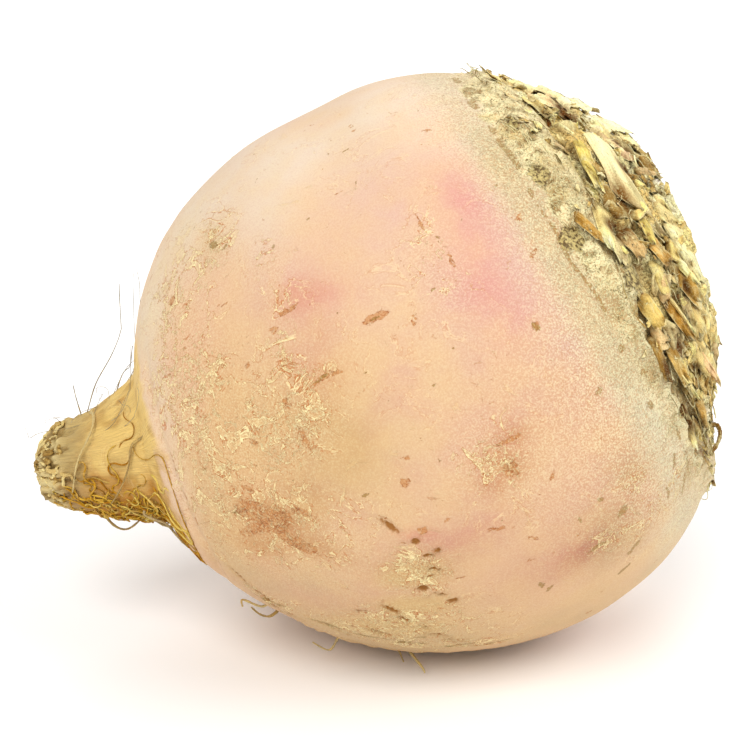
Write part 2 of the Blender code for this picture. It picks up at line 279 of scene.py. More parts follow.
def calc(tree, operation, *values, clamp=False):
    # one sum of sockets or numbers
    return addNode(
        tree, "ShaderNodeMath", dict(enumerate(values)), operation=operation, use_clamp=clamp
    ).outputs[0]


def times(tree, first, second, clamp=False):
    # the product of two sockets or numbers
    return calc(tree, "MULTIPLY", first, second, clamp=clamp)


def ramp(tree, value, low, high, toLow=0.0, toHigh=1.0):
    # smooth change from toLow to toHigh while the value goes from low to high
    inputs = {"Value": value, "From Min": low, "From Max": high, "To Min": toLow, "To Max": toHigh}
    return addNode(tree, "ShaderNodeMapRange", inputs, interpolation_type="SMOOTHSTEP").outputs[0]


def blendColour(tree, share, first, second, how="MIX"):
    # the first colour, and by its share the second one over it
    made = addNode(tree, "ShaderNodeMix", {0: share}, data_type="RGBA", blend_type=how)
    for socket, value in ((6, first), (7, second)):
        fillSockets(tree, made, {socket: value if isinstance(value, bpy.types.NodeSocket) else (*value, 1)})
    return made.outputs[2]


def layered(tree, colour, layers):
    # each layer's colour over the one before, by its mask times its strength, and never less than none
    for mask, strength, over in layers:
        colour = blendColour(tree, times(tree, mask, strength, clamp=True), colour, over)
    return colour


def raised(tree, height, layers):
    # the height plus each mask times its amount
    for mask, amount in layers:
        height = calc(tree, "MULTIPLY_ADD", mask, amount, height)
    return height


def newGroup(name, inputs, outputs):
    # a node group with named inputs, each a vector where no number is given.
    # its named outputs are numbers
    group = bpy.data.node_groups.new(name, "ShaderNodeTree")
    for socketName, value in inputs.items():
        kind = "NodeSocketVector" if value is None else "NodeSocketFloat"
        socket = group.interface.new_socket(socketName, in_out="INPUT", socket_type=kind)
        if value is not None:
            socket.default_value = value
    for socketName in outputs:
        group.interface.new_socket(socketName, in_out="OUTPUT", socket_type="NodeSocketFloat")
    return group, group.nodes.new("NodeGroupInput").outputs, group.nodes.new("NodeGroupOutput").inputs


def giveOut(group, wanted, values):
    # links the named values to the group's outputs
    for name, value in values.items():
        group.links.new(value, wanted[name])
    return group


def useGroup(tree, group, inputs):
    # a use of a node group with its inputs: gives its outputs
    made = addNode(tree, "ShaderNodeGroup", node_tree=group)
    fillSockets(tree, made, inputs)
    return made.outputs


def noiseValue(tree, vector, cell, detail=3.0, roughness=0.55, distortion=0.0):
    # noise of 0 to 1 whose broadest lumps are a cell wide, in millimetres
    inputs = {
        "Vector": vector, "Scale": 1 / cell, "Detail": detail,
        "Roughness": roughness, "Distortion": distortion,
    }
    return addNode(tree, "ShaderNodeTexNoise", inputs).outputs["Fac"]


def makePeelingFilm():
    # islands of thin dry film: where noise is over a threshold that falls as Reach grows.
    # each island has a pale rim inside its border, partly painted highlight, and a painted thin shadow
    # outside it
    group, given, wanted = newGroup(
        "peelingFilm", {"Position": None, "Cell": 1.5, "Reach": 0.5}, ("Film", "Rim", "Line")
    )
    scaled = addNode(group, "ShaderNodeVectorMath", {0: given["Position"]}, operation="SCALE")
    group.links.new(calc(group, "DIVIDE", 1.0, given["Cell"]), scaled.inputs["Scale"])
    noise = noiseValue(group, scaled.outputs[0], 1.0, 5.0, 0.62, 0.9)
    patchy = noiseValue(group, scaled.outputs[0], 3.7, 2.0, 0.5)
    limit = calc(
        group, "MULTIPLY_ADD", given["Reach"], -0.16, calc(group, "MULTIPLY_ADD", patchy, 0.30, 0.53)
    )
    over = calc(group, "SUBTRACT", noise, limit)
    film = ramp(group, over, 0.0, 0.012)
    rim = times(group, film, ramp(group, over, 0.012, 0.05, 1.0, 0.0))
    line = times(group, ramp(group, over, -0.022, -0.004), ramp(group, over, -0.002, 0.006, 1.0, 0.0))
    return giveOut(group, wanted, {"Film": film, "Rim": rim, "Line": line})


def makeSandGrain():
    # fine even grain and broad clouds, darker and paler than their surroundings: about -1 to 1
    group, given, wanted = newGroup("sandGrain", {"Position": None}, ("Grain", "Clouds"))
    fine = noiseValue(group, given["Position"], 0.34, 1.5, 0.6)
    clouds = noiseValue(group, given["Position"], 7.0, 3.0, 0.6)
    spread = {
        "Grain": ramp(group, fine, 0.3, 0.7, -1.0, 1.0), "Clouds": ramp(group, clouds, 0.3, 0.7, -1.0, 1.0)
    }
    return giveOut(group, wanted, spread)


def makeFibreGrain():
    # long thin lines that follow a piece's own length, from noise stretched along the UV map's first axis
    group, given, wanted = newGroup(
        "fibreGrain", {"Map": None, "Length": 8.0, "Width": 0.3}, ("Fibre", "Split")
    )
    parts = addNode(group, "ShaderNodeSeparateXYZ", {0: given["Map"]}).outputs
    joined = addNode(group, "ShaderNodeCombineXYZ", {
        0: calc(group, "DIVIDE", parts[0], given["Length"]),
        1: calc(group, "DIVIDE", parts[1], given["Width"]),
        2: parts[2],
    })
    lines = noiseValue(group, joined.outputs[0], 1.0, 3.0, 0.6, 0.3)
    return giveOut(
        group, wanted, {"Fibre": ramp(group, lines, 0.3, 0.7), "Split": ramp(group, lines, 0.60, 0.68)}
    )


def makeCorkCrust():
    # dry cork: islands of crust with pale rims, partly painted highlight, cracks and crumb gaps between
    # them, darkened in part by the film's painted shadow line, and a height
    outputs = ("Pale", "Cracks", "Crumbs", "Height")
    group, given, wanted = newGroup("corkCrust", {"Position": None, "Cell": 1.5}, outputs)
    crust = useGroup(
        group, peelingFilm, {"Position": given["Position"], "Cell": given["Cell"], "Reach": 0.9}
    )
    crumbs = noiseValue(group, given["Position"], 0.7, 2.0, 0.6)
    cracks = calc(group, "MAXIMUM", crust["Line"], ramp(group, crumbs, 0.40, 0.30))
    height = calc(group, "MULTIPLY_ADD", cracks, -1.2, crust["Film"])
    return giveOut(
        group, wanted, {"Pale": crust["Rim"], "Cracks": cracks, "Crumbs": crumbs, "Height": height}
    )


peelingFilm, sandGrain, fibreGrain = makePeelingFilm(), makeSandGrain(), makeFibreGrain()
corkCrust = makeCorkCrust()


def newMaterial(name, roughness, specular):
    # a new material, its node tree and shader, and the object's own coordinates in millimetres
    made = bpy.data.materials.new(name)
    made.use_nodes = True
    tree = made.node_tree
    shader = tree.nodes["Principled BSDF"]
    shader.inputs["Roughness"].default_value = roughness
    shader.inputs["Specular IOR Level"].default_value = specular
    objectPoint = addNode(tree, "ShaderNodeTexCoord").outputs["Object"]
    position = addNode(tree, "ShaderNodeVectorMath", {0: objectPoint}, operation="SCALE")
    position.inputs["Scale"].default_value = 1000
    return made, tree, shader, position.outputs[0]


def attribute(tree, name):
    # a piece's own colour attribute
    return addNode(
        tree, "ShaderNodeAttribute", attribute_name=name, attribute_type="GEOMETRY"
    ).outputs["Color"]


def masks(tree, name):
    # the three masks that one attribute holds
    return tuple(addNode(tree, "ShaderNodeSeparateColor", {0: attribute(tree, name)}).outputs)


def finishMaterial(tree, shader, colour, height, strength, distance):
    # the colour and the bump of a height, whose reach is in millimetres, go to the shader
    bump = addNode(
        tree, "ShaderNodeBump", {"Strength": strength, "Distance": distance / 1000, "Height": height}
    )
    tree.links.new(colour, shader.inputs["Base Color"])
    tree.links.new(bump.outputs[0], shader.inputs["Normal"])


skinLook = dict(
    rim=1.3 * paint(255, 238, 178), line=paint(208, 116, 44), film=paint(248, 210, 144),
    stain=paint(164, 124, 46), rust=paint(210, 140, 76), rustDark=paint(164, 84, 22),
    pit=1.2 * paint(158, 100, 30), fleck=paint(208, 140, 84), grainDark=paint(206, 152, 104),
    grainPale=paint(255, 246, 196), fibreDark=paint(126, 78, 14), tip=paint(246, 212, 116),
    corkDark=paint(132, 98, 34), corkPale=1.25 * paint(252, 238, 178), scarDark=paint(96, 70, 22),
    scarPale=paint(226, 202, 128),
)


def makeSkinMaterial():
    # the skin's own tone with film, cracks, rust, stains, fibres, sand, cork, scars and pits over it.
    # attributes: wear is film, sand and stain; marks is pits, rust and tail; zones is cork and scars
    look = skinLook
    made, tree, shader, position = newMaterial("turnipSkin", 0.55, 0.2)
    film, sandy, stained = masks(tree, "wear")
    pitted, rusty, onTail = masks(tree, "marks")
    corky, scarred = masks(tree, "zones")[:2]
    uvMap = addNode(tree, "ShaderNodeUVMap", uv_map="skinMap").outputs[0]
    sand = useGroup(tree, sandGrain, {"Position": position})
    broad = useGroup(tree, peelingFilm, {"Position": position, "Cell": 5.6, "Reach": film})
    small = useGroup(tree, peelingFilm, {"Position": position, "Cell": 2.5, "Reach": film})
    crust = useGroup(tree, corkCrust, {"Position": position})
    flecks = useGroup(tree, peelingFilm, {"Position": position, "Cell": 1.7, "Reach": -0.12})
    hairs = useGroup(tree, fibreGrain, {"Map": uvMap, "Length": 6.0, "Width": 0.5})
    clouded = calc(tree, "MULTIPLY_ADD", sand["Clouds"], 0.12, 0.10)
    strength = ramp(tree, film, 0.05, 0.6, 0.0, 0.9)
    # the film's borders: painted shadow lines, and pale rims that are partly painted highlight
    lines = times(tree, calc(tree, "MAXIMUM", broad["Line"], small["Line"]), strength)
    rims = times(tree, calc(tree, "MAXIMUM", broad["Rim"], small["Rim"]), strength)

    # long winding cracks where thin skin lifts: dark on the line, pale beside it
    winding = calc(tree, "SUBTRACT", noiseValue(tree, position, 9.0, 5.0, 0.62, 0.6), 0.5)
    shifted = calc(tree, "SUBTRACT", winding, 0.014)
    patchy = ramp(tree, noiseValue(tree, position, 15.0, 2.0), 0.47, 0.56)
    there = times(tree, patchy, ramp(tree, film, 0.0, 0.4, 0.3, 1.0))
    veins = times(tree, ramp(tree, calc(tree, "ABSOLUTE", winding), 0.009, 0.001), there)
    beside = times(tree, ramp(tree, calc(tree, "ABSOLUTE", shifted), 0.010, 0.002), there)

    # rust and brown stains break up into grains at their borders
    breakUp = noiseValue(tree, position, 1.5, 5.0, 0.72, 0.8)
    rust = ramp(tree, calc(tree, "ADD", breakUp, calc(tree, "MULTIPLY_ADD", rusty, 0.62, -0.62)), 0.41, 0.46)
    grit = ramp(tree, noiseValue(tree, position, 0.8, 4.0, 0.75, 0.6), 0.50, 0.58, 0.0, 0.9)
    cracked = times(tree, rust, calc(tree, "MAXIMUM", small["Line"], grit))
    stain = ramp(
        tree, calc(tree, "ADD", breakUp, calc(tree, "MULTIPLY_ADD", stained, 0.62, -0.62)), 0.30, 0.40
    )
    fibre = times(tree, calc(tree, "SUBTRACT", hairs["Fibre"], 0.5), onTail)
    grain = times(tree, sand["Grain"], sandy)

    # the crown's cork: a cracked crust with pale flakes, and round scars of dark and pale crumbs
    flakes = times(tree, corky, crust["Pale"])
    cracks = times(tree, corky, crust["Cracks"])
    scar = ramp(
        tree, calc(tree, "ADD", breakUp, calc(tree, "MULTIPLY_ADD", scarred, 0.7, -0.70)), 0.28, 0.44
    )
    crumbColour = blendColour(
        tree, ramp(tree, crust["Crumbs"], 0.42, 0.58), look["scarDark"], look["scarPale"]
    )
    pit = ramp(tree, calc(tree, "ADD", pitted, calc(tree, "MULTIPLY_ADD", breakUp, 0.7, -0.35)), 0.35, 0.75)

    colour = layered(tree, attribute(tree, "tone"), (
        (clouded, 1.0, look["film"]), (broad["Film"], 0.22, look["film"]), (rims, 1.0, look["rim"]),
        (lines, 1.0, look["line"]), (flecks["Film"], 0.45, look["fleck"]), (beside, 0.6, look["rim"]),
        (veins, 0.8, look["line"]), (rust, 0.74, look["rust"]), (cracked, 0.85, look["rustDark"]),
        (stain, 0.75, look["stain"]), (fibre, 0.55, look["fibreDark"]), (fibre, -0.5, look["tip"]),
        (grain, 0.6, look["grainPale"]), (grain, -0.6, look["grainDark"]), (flakes, 0.75, look["corkPale"]),
        (cracks, 0.78, look["corkDark"]), (scar, 0.85, crumbColour), (pit, 0.92, look["pit"]),
    ))
    height = raised(tree, times(tree, broad["Film"], 0.5), (
        (grain, 0.22), (rims, 0.7), (lines, -0.15), (veins, -0.2), (beside, 0.3), (flecks["Film"], -0.3),
        (rust, -0.3), (stain, -0.5), (fibre, 1.0), (corky, crust["Height"]),
        (times(tree, scar, crust["Crumbs"]), 3.0),
    ))
    finishMaterial(tree, shader, colour, height, 0.7, 0.2)
    return made


stalkLook = dict(gamma=0.95, warmth=(1.14, 1.09, 0.94))


def makeStalkMaterial(name, dark, pale, roughness):
    # dry leaf stalk: the piece's own tone, with fibres along it, pale splits, and dark grime and painted
    # shade low down.
    # the attribute wear is film, grime with painted shade, and cork
    made, tree, shader, position = newMaterial(name, roughness, 0.06)
    film, grimeAndShade, corky = masks(tree, "wear")
    uvMap = addNode(tree, "ShaderNodeUVMap", uv_map="skinMap").outputs[0]
    fine = useGroup(tree, fibreGrain, {"Map": uvMap, "Length": 7.0, "Width": 0.28})
    sand = useGroup(tree, sandGrain, {"Position": position})
    peel = useGroup(tree, peelingFilm, {"Position": position, "Cell": 1.6, "Reach": film})
    crust = useGroup(tree, corkCrust, {"Position": position, "Cell": 1.7})
    patches = noiseValue(tree, position, 2.6, 4.0, 0.65, 0.5)
    colour = layered(tree, attribute(tree, "tone"), (
        (ramp(tree, fine["Fibre"], 0.0, 0.6, 1.0, 0.0), 0.22, dark),
        (ramp(tree, patches, 0.52, 0.70), 0.28, dark),
        (ramp(tree, patches, 0.50, 0.34), 0.5, pale), (fine["Split"], 0.30, pale), (peel["Rim"], 0.6, pale),
        (peel["Line"], 0.7, dark), (times(tree, corky, crust["Pale"]), 0.8, pale),
        # grime and painted shade: dark where the wear's second share is high
        (times(tree, corky, crust["Cracks"]), 0.75, dark), (grimeAndShade, 1.0, dark), (sand["Grain"], 0.18, pale),
        (sand["Grain"], -0.25, dark),
    ))
    colour = addNode(tree, "ShaderNodeGamma", {0: colour, 1: stalkLook["gamma"]}).outputs[0]
    colour = blendColour(tree, 1.0, colour, stalkLook["warmth"], "MULTIPLY")
    height = raised(tree, times(tree, peel["Film"], 0.5), (
        (fine["Fibre"], 0.8), (sand["Grain"], 0.15), (corky, crust["Height"]),
    ))
    finishMaterial(tree, shader, colour, height, 0.85, 0.30)
    return made


skinMaterial = makeSkinMaterial()
strapMaterial = makeStalkMaterial("dryLeafStalk", paint(144, 92, 8), 1.1 * paint(255, 248, 192), 0.55)
coreMaterial = makeStalkMaterial("crownCork", paint(134, 84, 6), 1.12 * paint(255, 246, 180), 0.8)
rootletMaterial = makeStalkMaterial("rootletSkin", paint(140, 92, 24), paint(250, 222, 146), 0.6)
print("materials made")


skinGrid = dict(rings=212, collarRings=8, domeRings=6, sides=436, frontDensity=0.3, uvRadius=40)


def evenAlong(count):
    # places along the root that lie evenly on its profile
    fineAlong = np.linspace(0, rootShape["neckAlong"], 4000)
    step = np.hypot(np.diff(fineAlong), np.diff(rootRadius(fineAlong)))
    length = np.concatenate([[0], np.cumsum(step)])
    return np.interp(np.linspace(0, length[-1], count), length, fineAlong)


def ellipseShare(skin, along, degrees, halfAlong, halfRound, turn=0.0):
    # squared distance from a place on the skin, in units of a turned ellipse's half lengths
    ahead = skin["along"] - along
    aside = wrapped(skin["angle"] - math.radians(degrees)) * np.maximum(skin["radius"], 2)
    c, s = math.cos(math.radians(turn)), math.sin(math.radians(turn))
    return ((ahead * c + aside * s) / halfAlong) ** 2 + ((aside * c - ahead * s) / halfRound) ** 2


def blob(skin, *ellipse):
    # a soft spot: 1 in the middle, a bell curve over the ellipse
    return np.exp(-ellipseShare(skin, *ellipse))


def blobs(skin, ellipses):
    # the strongest of several soft spots at each place
    total = 0
    for ellipse in ellipses:
        total = np.maximum(total, blob(skin, *ellipse))
    return total


# colour zones: each tone, its strength and its ellipses.
# an ellipse is along, degrees, half length along, half length round, and its turn
toneZones = (
    (paint(248, 224, 200), 0.9, ((108, 345, 26, 30), (100, 15, 26, 34), (60, 0, 26, 26))),
    (paint(246, 198, 178), 0.8, ((90, 318, 16, 16), (66, 316, 14, 12), (102, 300, 12, 22, 10))),
    (paint(242, 182, 162), 0.9, (
        (103, 297, 10, 12, 30), (107, 312, 8, 12, 20), (105, 303, 6, 12), (100, 286, 8, 5),
    )),
    (paint(242, 166, 154), 0.85, (
        (102, 295, 6, 6, 30), (103.3, 305, 4, 6), (107, 311, 4, 7, 20), (106, 302, 3, 6), (104, 303, 6, 8),
        (105, 289, 5, 4),
    )),
    (paint(238, 150, 136), 0.95, ((67.5, 309, 6.5, 2.6, -12), (64.5, 312, 3, 2))),
    (paint(244, 184, 158), 0.7, ((66, 308, 11, 9), (61, 300, 6, 7))),
    (paint(240, 186, 160), 0.7, ((108, 270, 14, 12), (104, 252, 12, 12), (110, 245, 10, 12))),
    (paint(230, 140, 130), 0.9, (
        (76, 256, 9, 2.2, 12), (71, 259, 4, 1.6, -20), (97, 242, 6, 2.8, 24), (93, 243, 4, 2),
    )),
    (paint(230, 174, 142), 0.75, (
        (92, 244, 18, 10, 14), (76, 254, 14, 7, 8), (40, 234, 9, 8), (50, 240, 12, 8),
    )),
    # partly the lower side's own tan, partly painted shade of the underside
    (paint(218, 184, 134), 0.9, ((62, 220, 26, 16), (92, 216, 30, 14))),
    (paint(196, 126, 68), 0.85, (
        (47, 266, 6, 6, 10), (44, 269, 6, 4), (50, 260, 7, 3, -30), (42, 258, 6, 3),
    )),
    (paint(226, 188, 120), 0.7, ((67, 250, 7, 5), (66, 240, 7, 5), (62, 232, 10, 5), (51, 334, 4, 5))),
    (paint(232, 160, 110), 0.5, ((64, 294, 7, 5), (60, 288, 5, 5), (64, 280, 5, 5))),
    (paint(216, 170, 116), 0.6, ((36, 262, 5, 9), (40, 284, 7, 6), (42, 292, 5, 8))),
    (paint(234, 190, 130), 0.75, (
        (52, 284, 12, 16), (44, 298, 12, 18), (62, 280, 10, 12), (38, 275, 8, 14),
    )),
    (paint(240, 190, 160), 0.6, ((44, 322, 10, 12), (38, 310, 6, 12))),
    (paint(240, 180, 162), 0.7, ((84, 120, 18, 22, 20), (100, 60, 12, 18), (56, 165, 12, 14))),
    (paint(216, 156, 104), 0.6, ((60, 100, 7, 8, 30), (50, 180, 8, 6), (96, 150, 6, 8))),
    (paint(240, 216, 184), 0.9, ((32, 330, 3, 16), (32, 304, 3, 14))),
    (paint(226, 186, 136), 0.8, ((37, 272, 4, 14), (36, 250, 4, 14))),
    (paint(244, 208, 178), 0.8, ((31, 278, 2.6, 14), (31.4, 300, 2.6, 14))),
    (paint(240, 224, 188), 0.85, ((119, 262, 6, 16), (118, 240, 6, 16), (114, 225, 8, 14))),
    (paint(208, 126, 78), 0.75, ((89, 267, 4.6, 4.2, 30), (93, 271, 3.4, 3.0), (86, 265, 3, 3))),
    (paint(190, 106, 86), 0.85, ((96.5, 241.5, 6.5, 3.6, 20), (99, 241, 3, 3))),
    (paint(204, 164, 118), 0.6, ((102, 245, 6, 7, 20), (101, 238, 6, 5), (108, 252, 5, 6))),
    (paint(238, 180, 150), 0.45, ((98, 275, 9, 9), (104, 281, 6, 7), (83, 262, 6, 6))),
    (paint(238, 194, 180), 0.7, ((110, 297, 4.5, 13), (109.5, 285, 4.5, 9), (112, 311, 4, 8))),
    (paint(212, 154, 104), 0.6, ((44, 261, 5, 7), (50, 262, 5, 6), (54, 271, 4, 4))),
    (paint(214, 182, 138), 0.55, ((40.5, 242, 6, 6), (49, 248, 6, 6))),
    (paint(204, 166, 118), 0.5, ((98, 236, 5, 6), (104, 235, 5, 6))),
    (paint(236, 164, 130), 0.5, ((66, 302, 4, 4.5), (66, 310, 5, 4))),
    (paint(250, 232, 200), 0.8, ((42, 347, 9, 10), (36, 338, 4, 8))),
    (paint(250, 234, 212), 0.6, ((76, 343, 20, 14), (96, 346, 10, 12), (66, 332, 10, 10))),
)
rustPatches = (
    (46, 266, 4.8, 3.8, 10), (43, 269, 3.2, 2.6), (49, 260, 5.4, 1.8, -38), (42, 262, 3.0, 1.4, 30),
    (52, 268, 2.4, 1.2, -30), (64, 294, 3.4, 0.8, 12), (56, 292, 1.2, 1.6), (57, 284, 1.0, 3.0, 8),
    (92, 271, 3.0, 0.8), (90, 266, 2.0, 2.2), (83, 256, 2.8, 0.7, -10), (40, 331, 1.2, 1.0),
    (79, 300, 4, 1.0), (62, 309, 4, 0.8), (96, 312, 0.8, 2.6), (98, 303, 0.8, 2.0),
    (67, 294, 2.2, 0.7, -10), (86, 246, 1.6, 0.5),
)
stainPatches = (
    (51.4, 334, 1.2, 1.8, 20), (53.6, 331, 1.0, 0.8), (118, 273, 1.2, 1.2), (119.5, 265.5, 0.9, 1.2),
    (110.4, 269.5, 1.1, 0.8), (117.7, 259, 1.0, 1.3), (86, 238, 0.9, 1.4), (87, 236, 1.3, 0.6, 45),
    (97, 241, 2.6, 0.6, 18), (99, 240.5, 1.8, 0.5, -20), (64, 294, 2.0, 0.4, 12), (41, 228.5, 3.4, 0.7, 6),
    (49, 226, 4, 0.8, -4), (56, 224, 4, 0.9, 3), (62, 222, 4, 0.8, -3), (69, 219.5, 4, 0.8, 4),
    (76, 217.5, 4, 0.7), (64, 226, 2.4, 0.5, 20), (58, 228, 2.0, 0.4, -20), (119, 237, 3.0, 0.5, 74),
    (116.5, 234, 3.4, 0.5, 62), (113, 238, 2.6, 0.5, 76), (117, 243, 2.6, 0.5, 66),
    (120, 246, 2.2, 0.5, 80), (103, 233, 3.0, 0.9, 30), (100, 228, 2.4, 0.7, 20), (104, 245, 2.0, 1.2, 40),
)
scarPatches = (
    (120.4, 297, 3.6, 3.6), (121.5, 313, 2.4, 3.6), (126.5, 284, 3.0, 4.0), (123, 330, 1.6, 3.0),
)
rimPatches = (
    (121, 281, 2.2, 4.4), (123.2, 273, 2.4, 4.4), (124.4, 310, 1.8, 3.4), (121.4, 262, 1.8, 3.0),
    (120, 250, 1.6, 3.4), (119, 234, 3.0, 3.4),
)
pitPlaces = (
    (66, 262.5, 2.8, 0.7, -58), (69.3, 258, 0.9, 0.9), (72.3, 255, 0.7, 0.6), (70.4, 254.4, 1.2, 0.4),
    (67.5, 245.5, 1.1, 1.0), (71.5, 240.5, 1.1, 0.9), (69.8, 243.2, 1.6, 0.4, -30),
    (61, 239, 2.4, 0.6, -52), (62.6, 235.4, 1.8, 0.5, -50), (67, 227, 2.6, 0.5, -35),
    (69.3, 223.5, 1.8, 0.6, -30), (71, 218, 2.2, 0.5, -24), (57.7, 228, 2.4, 0.5, -40),
    (62, 222, 2.4, 0.5, -30), (74, 216, 1.2, 0.4), (70.6, 250.4, 1.5, 0.35, -25), (69.5, 248.6, 0.7, 0.4),
    (65, 231.5, 1.5, 0.4, -35), (56, 238, 0.8, 0.4), (50, 224, 3, 0.4, -30), (44, 222, 3, 0.35, -30),
    (37, 238, 2.6, 0.4, -60), (40, 230.5, 3.0, 0.55, -60), (42, 223, 2.6, 0.45, -62),
    (44.5, 216, 2.8, 0.55, -50), (49, 212, 2.4, 0.6, -10), (54, 211.5, 3.0, 0.5), (59, 211, 2.4, 0.6),
    (65, 210.5, 2.6, 0.45),
)
tinyMarks = (
    (87.1, 326.5, 1.6, 0.35, 70), (88.7, 337, 1.8, 0.35, 10), (97.8, 307.5, 0.5, 1.6),
    (106, 286, 0.7, 1.8, 20), (78.6, 300, 1.4, 0.5), (79, 272.5, 0.6, 0.6), (64, 270, 1.5, 0.4, 20),
    (96.6, 249.5, 0.5, 1.2), (101.3, 251, 0.8, 1.4, 30), (92, 300, 0.7, 0.4), (84, 285, 1.0, 0.4),
)
# where the skin is corky: ellipses as above
corkyPatches = (
    (42, 330, 9, 14), (40, 300, 10, 20), (46, 290, 12, 12), (38, 275, 8, 16), (60, 300, 9, 8),
    (62, 320, 5, 7), (61, 312, 5, 3), (58.5, 304, 5, 3.4), (52, 333, 5, 6), (41, 332, 4, 5),
    (41, 229, 6, 5), (53, 226, 8, 6), (61, 224, 8, 6), (70, 220, 9, 6), (117, 236, 7, 8), (48, 262, 12, 12),
    (108, 248, 4, 5), (56, 288, 8, 8), (88, 268, 7, 8), (40, 60, 14, 24), (46, 150, 12, 22),
    (70, 200, 16, 12), (64, 232, 14, 8), (68, 250, 6, 7), (96, 303, 5, 9), (104, 240, 10, 7),
    (92, 95, 16, 18), (52, 334, 6, 8),
)


def scatterMarks(seed, count, size, slim, degrees=(10, 198)):
    # marks at seeded places, on the far side if nothing else is given
    rng = np.random.default_rng(seed)
    marks = []
    for _ in range(count):
        along, middle = rng.uniform(34, 114), rng.uniform(*degrees)
        length = rng.uniform(*size)
        width = rng.uniform(*size) * rng.uniform(*slim)
        marks.append((along, middle, length, width, rng.uniform(-60, 60)))
    return tuple(marks)


nearSide = (215, 356)
rustPatches += scatterMarks(81, 26, (1.0, 4.2), (0.25, 0.8))
rustPatches += scatterMarks(84, 46, (0.5, 1.9), (0.25, 0.7), nearSide)
stainPatches += scatterMarks(82, 30, (0.6, 2.2), (0.25, 0.7))
stainPatches += scatterMarks(85, 26, (0.4, 1.3), (0.2, 0.5), nearSide)
pitPlaces += scatterMarks(83, 12, (0.8, 2.4), (0.25, 0.6))


def grooveAlong(angle):
    # the groove under the crown runs round the root, a little unevenly
    return 119.0 + 0.5 * np.sin(3 * angle + 1.0) + 0.35 * np.sin(7 * angle) + 0.25 * np.sin(23 * angle)


def grooveShare(skin, width):
    # the groove's depth: full on the front and top, faint below
    there = 0.25 + 0.75 * smoothStep((skin["degrees"] - 268) / 14)
    return np.exp(-(((skin["along"] - grooveAlong(skin["angle"])) / width) ** 2)) * there


def creviceShare(skin, before=0.0):
    # the skin breaks off early at the lower front, with a dark gap up to the leaf bases
    degrees = skin["degrees"]
    edge = 123.2 - 1.6 * smoothStep((262 - degrees) / 20) + 0.5 * np.sin(degrees * 0.9)
    there = smoothStep((degrees - 226) / 8) * (1 - smoothStep((degrees - 274) / 8))
    return smoothStep((skin["along"] - edge + before) / 0.7) * there


def blend(tone, colour, share):
    # the tone moved towards a colour by a share
    return tone + (colour - tone) * share[..., None]


def skinGridPlaces():
    # rows run along the profile and close over the dome under the leaf bases.
    # columns run round, and lie closer together at the front by a sine
    g = skinGrid
    neck, collar = rootShape["neckAlong"], rootShape["collar"]
    collarAlong = neck + collar * np.linspace(0, 1, g["collarRings"] + 1)[1:]
    profileAlong = np.concatenate([evenAlong(g["rings"]), collarAlong])
    profileRadius = skinRadius(profileAlong)
    inward = np.linspace(1, 0, g["domeRings"] + 1)[1:]
    domeAlong = neck + collar + rootShape["domeHeight"] * (1 - inward**2)
    turn = np.arange(g["sides"]) / g["sides"] * 2 * np.pi
    front = math.radians(270)
    angle = turn - g["frontDensity"] * np.sin(turn - front)
    along = np.concatenate([profileAlong, domeAlong])[:, None]
    radius = np.concatenate([profileRadius, profileRadius[-1] * inward])[:, None]
    along, radius, angle, turn = np.broadcast_arrays(along, radius, angle, turn)
    return dict(along=along, radius=radius, angle=angle, turn=turn, degrees=np.degrees(angle) % 360)


def skinRelief(skin, points):
    # millimetres outwards: broad lumps, corky film, tail ridges, groove, peeled strip and pits, added up
    along, angle = skin["along"], skin["angle"]
    relief = 0.28 * layeredNoise(points, 26, 2, 1) + 0.07 * layeredNoise(points, 7, 2, 5)
    film = smoothStep((layeredNoise(points, 3.2, 3, 9) - 0.12) / 0.1)
    relief = relief + 0.16 * film * skin["corky"]
    relief = relief + 0.05 * layeredNoise(points, 1.6, 2, 13) * (0.3 + skin["corky"])
    onTail = 1 - smoothStep((along - 22) / 10)
    wrinkle = layeredNoise(np.stack([along / 3.2, angle * 7, 0 * along], axis=-1), 1.0, 3, 17)
    onTip = 1 - smoothStep((along - 6) / 9)
    relief = relief + onTail * (0.22 + 0.55 * onTip) * wrinkle
    relief = relief + onTip * layeredNoise(points, 2.4, 3, 23)
    relief = relief - 0.6 * grooveShare(skin, 0.8) * (0.35 + 0.65 * valueNoise(points, 6, 27))
    relief = relief - 1.4 * creviceShare(skin) + 0.5 * (creviceShare(skin, 1.4) - creviceShare(skin))
    onCollar = smoothStep((along - 119.8) / 1.2)
    torn = 0.6 * layeredNoise(points, 2.4, 4, 31) - 0.35 * smoothStep((along - 125) / 2)
    relief = relief + onCollar * torn
    peeled = np.exp(-(((along - skin["stripAlong"]) / 0.7) ** 2))
    lip = smoothStep((skin["stripAlong"] - along) / 0.8) * smoothStep((along - 27) / 3)
    relief = relief + skin["stripShare"] * (0.35 * lip - 0.5 * peeled)
    for pit in pitPlaces:
        distance = ellipseShare(skin, *pit)
        border = np.exp(-((np.sqrt(distance) - 1.55) ** 2) / 0.14)
        relief = relief - 0.8 * np.exp(-distance * 1.4) + 0.28 * border
    return relief


